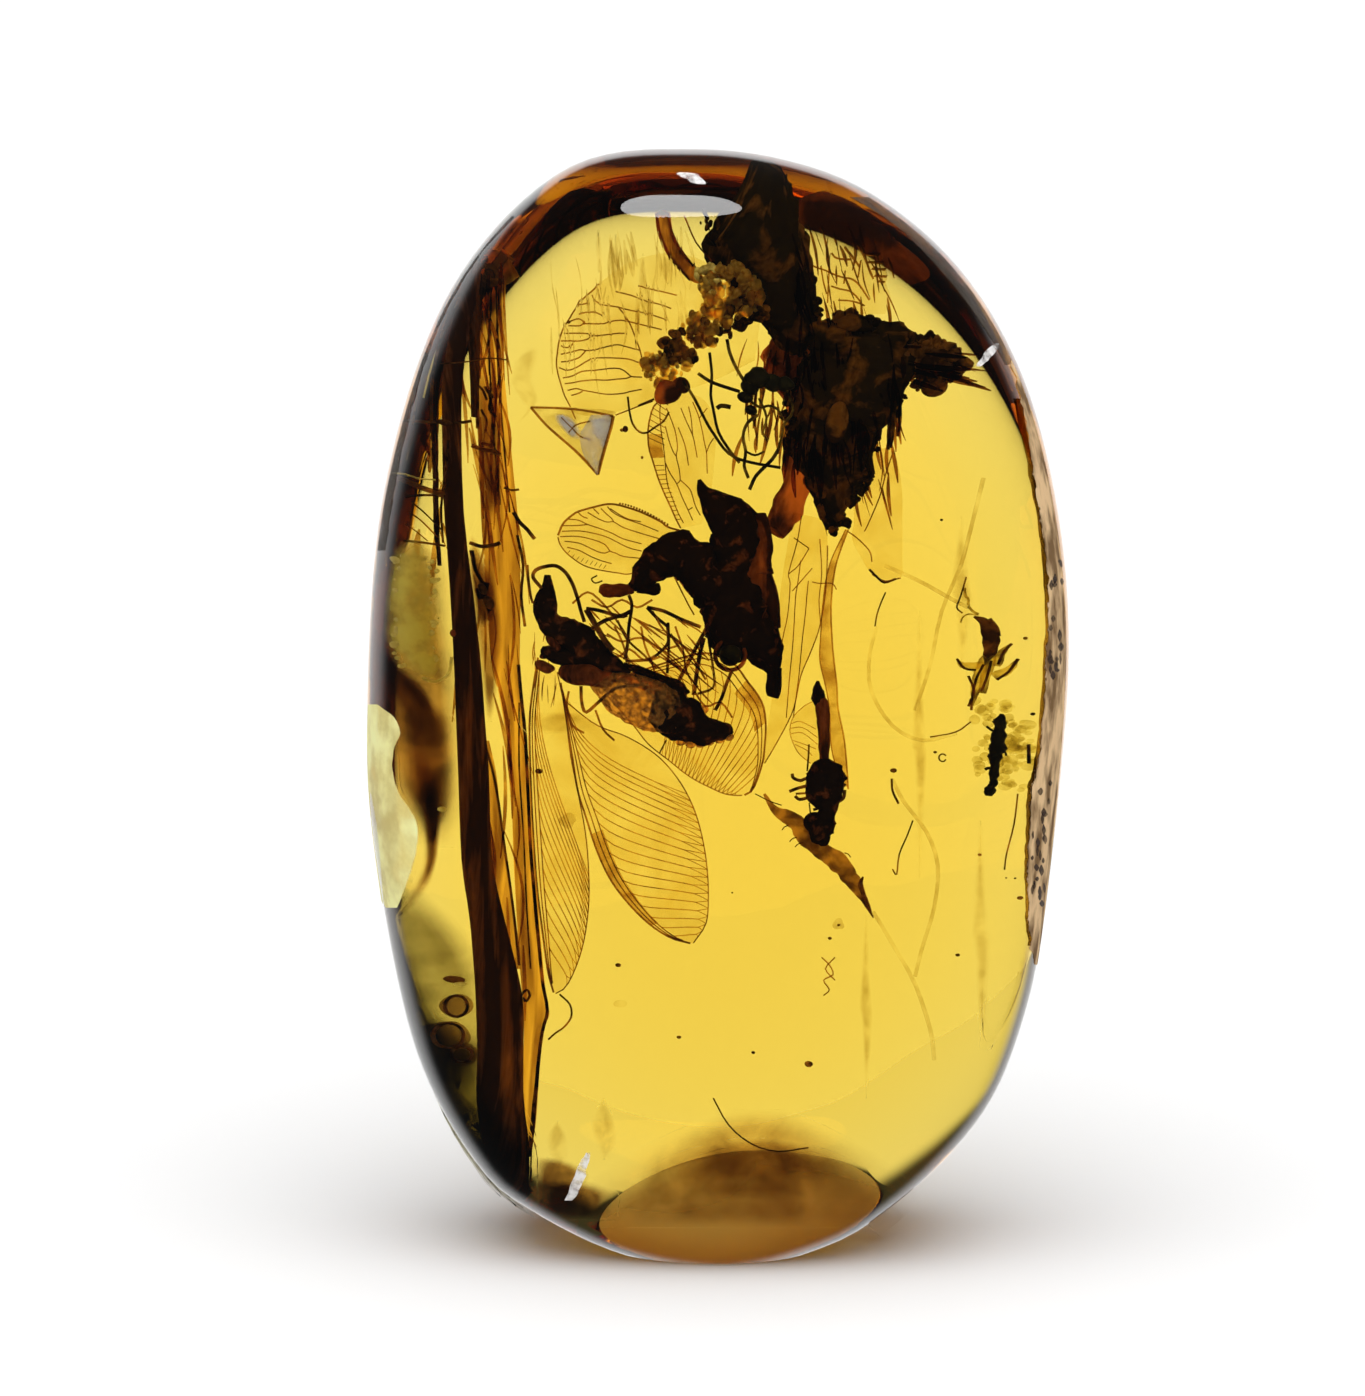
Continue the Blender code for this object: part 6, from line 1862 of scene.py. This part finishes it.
def faint_haze():
    """Faint drifts and fibres in the clear part."""
    haze = Shape()
    haze.lump((-3.9, 11.49, -1.0), (0.2, 0.05, 0.2), rough=0.5, grain=5.0)
    haze.lump((3.2, 8.75, -1.0), (0.14, 0.05, 0.16), rough=0.5, grain=5.0)
    haze.lump((-2.55, 6.7, -1.0), (0.2, 0.05, 0.1), rough=0.5, grain=5.0)
    for places in (
        ((4.6, 12.6), (4.9, 12.0), (5.5, 11.2), (5.8, 10.3), (5.7, 9.2), (5.4, 8.2), (5.2, 7.4)),
        ((4.1, 9.1), (4.7, 8.1), (5.2, 7.2), (5.6, 6.0), (5.7, 5.2)),
        ((4.2, 16.6), (4.0, 15.8), (4.05, 14.9), (4.6, 14.0), (5.4, 13.6), (6.3, 13.8)),
        ((7.0, 20.5), (6.7, 19.3), (6.4, 18.2), (5.9, 17.0), (5.6, 15.6), (5.2, 14.4)),
        ((4.4, 18.2), (5.3, 17.8), (6.2, 17.3), (6.6, 17.1)),
    ):
        haze.line(places, -0.9, 0.05)
    fibres(haze, 40, (-2.9, -0.6), (25.0, 27.2), 0.1, (0.6, 1.6), -2.0, (0.02, 0.06), 41)
    fibres(haze, 24, (-4.4, -2.9), (24.0, 26.4), 0.1, (0.6, 1.6), -2.0, (0.015, 0.04), 42)
    haze.ribbon(((14.35, -5.2, -3.1), (14.05, -5.2, -3.0), (13.8, -5.0, -3.3)), -1.0, 0.04, columns=15,
                soft=True)
    haze.ribbon(((14.4, -9.0, -7.0), (14.05, -9.0, -6.9), (13.7, -8.9, -7.1)), 0.2, 0.04, columns=15,
                soft=True)
    for across, low, high, wide in (
        (-2.65, 25.5, 26.9, 0.16), (-1.95, 24.8, 26.4, 0.22), (-3.1, 25.9, 27.0, 0.1),
        (-3.6, 24.2, 25.2, 0.2), (-1.3, 25.6, 26.6, 0.14), (6.4, 15.5, 19.5, 0.5),
        (5.3, 10.0, 17.0, 0.35), (6.9, 5.5, 11.5, 0.4), (3.9, 4.2, 9.0, 0.3), (-3.0, 2.6, 4.2, 0.6),
        (-4.2, 2.4, 3.6, 0.5),
    ):
        haze.ribbon((
            (high, across, across + 0.1 * wide),
            (0.5 * (low + high) + 0.2, across - 0.5 * wide, across + 0.5 * wide),
            (0.5 * (low + high) - 0.4, across - 0.3 * wide, across + 0.6 * wide),
            (low, across, across + 0.1 * wide),
        ), 1.5, 0.03, soft=True)
    return haze


def dome_shade_veils():
    """Painted shade over the dome that shows at the foot."""
    dome = Shape()
    dome.ribbon((
        (3.9, 0.3, 1.9), (3.3, -1.2, 3.2), (2.6, -2.6, 4.4), (1.8, -3.8, 5.2), (1.2, -4.4, 5.4),
        (0.8, -4.0, 5.0),
    ), -0.8, 0.03, columns=15, soft=True)
    dome.ribbon((
        (3.0, 0.7, 1.6), (2.7, -0.5, 2.8), (2.3, -1.4, 3.5), (1.9, -2.0, 3.9), (1.5, -2.2, 4.1),
    ), -1.1, 0.03, columns=15, soft=True)
    dome.ribbon((
        (3.15, 0.5, 1.5), (2.85, -0.8, 2.9), (2.45, -1.7, 3.7), (2.0, -2.4, 4.1),
    ), -1.3, 0.03, columns=15, soft=True)
    return dome


def small_finds(looks):
    """Red heads by the crumb, froth by the beetle, hairs, dust, haze and painted shade over the dome at the
    foot.
    """
    for name, shape, look in (
        ("dome", dome_shade_veils(), "dome"), ("head", red_heads(), "rust"), ("froth", beetle_froth(), "froth"),
        ("hairs", loose_hairs(), "leg"), ("dust", dust_specks(), "leg"), ("haze", faint_haze(), "haze"),
    ):
        add_piece(f"find_{name}", shape.mesh(f"find_{name}", looks[look]), "crumb")


def detail_looks():
    """Make the materials of the veils, the rind and the small finds."""
    return {
        # Painted shade for the dark rims, inside the upper left edge and along the right rim.
        "painted_shade": veil("painted_shade", (0.03, 0.014, 0.005), (0.4, 0.25, 0.09), 2.2, stretch=(1, 1, 6)),
        # Painted shade, darker towards the lower left edge.
        "painted_edge_shade": veil("painted_edge_shade", (0.22, 0.19, 0.12), (0.62, 0.6, 0.48), 0.7),
        "brown_veil": veil("brown_veil", (0.1, 0.045, 0.02), (0.6, 0.4, 0.22), 0.9, stretch=(1, 1, 1.6)),
        "bubble": film("bubble", (0.8, 0.7, 0.38), 0.45, 0.85, 1.6, edge=(0.4, 0.6)),
        # Painted highlights, and bright splinters.
        "highlight_and_splinter_film": film("highlight_and_splinter_film", (0.95, 0.92, 0.7), 0.4, 0.8, 3.0),
        "haze": veil("haze", (0.7, 0.62, 0.45), (0.97, 0.95, 0.9), 1.6),
        "froth": veil("froth", (0.66, 0.6, 0.36), (0.97, 0.95, 0.82), 2.6),
        "flake": film("flake", (0.8, 0.76, 0.95), 0.3, 0.9, 1.8, edge=(0.4, 0.6)),
        "dusk_film": film("dusk_film", (0.05, 0.03, 0.02), 0.5, 0.9, 2.0),
        # Painted glint along the left edge.
        "painted_glint": film("painted_glint", (1.0, 0.84, 0.3), 0.5, 0.9, 0.9),
        # Painted sheen and shade on the upper bevels.
        "painted_sheen_and_shade": film("painted_sheen_and_shade", (0.06, 0.05, 0.04), 0.3, 0.65, 2.0, stretch=(1, 1, 2)),
        # Painted shade over the dome at the foot.
        "dome": veil("dome", (0.5, 0.38, 0.26), (0.85, 0.74, 0.6), 0.8),
        # Scratches and chips, and a painted highlight at the top.
        "scratch_and_highlight": film("scratch_and_highlight", (0.8, 0.78, 0.76), 0.2, 0.75, 4.0),
        "crust": mottled(
            "crust", (0.2, 0.115, 0.05), (0.76, 0.52, 0.28), 2.6, stretch=(1, 1, 3.0), edge=(0.38, 0.6),
            bump=0.1, roughness=0.8),
    }


def inclusions():
    """Build everything that the amber sealed in."""
    looks = {**make_looks(), **plant_looks(), **detail_looks()}
    for make in (
        stem_dark, stem_pale, needle, bark_black, bark_dark, crumb, leaf_scrap, seed_husk,
        lacewing_left, lacewing_centre, lacewing_top, gnat_right, beetle_small, ant_top,
        veils, rinds, chip, small_finds,
    ):
        make(looks)


render_depth()
camera()
floor_and_light()
amber_pebble()
inclusions()
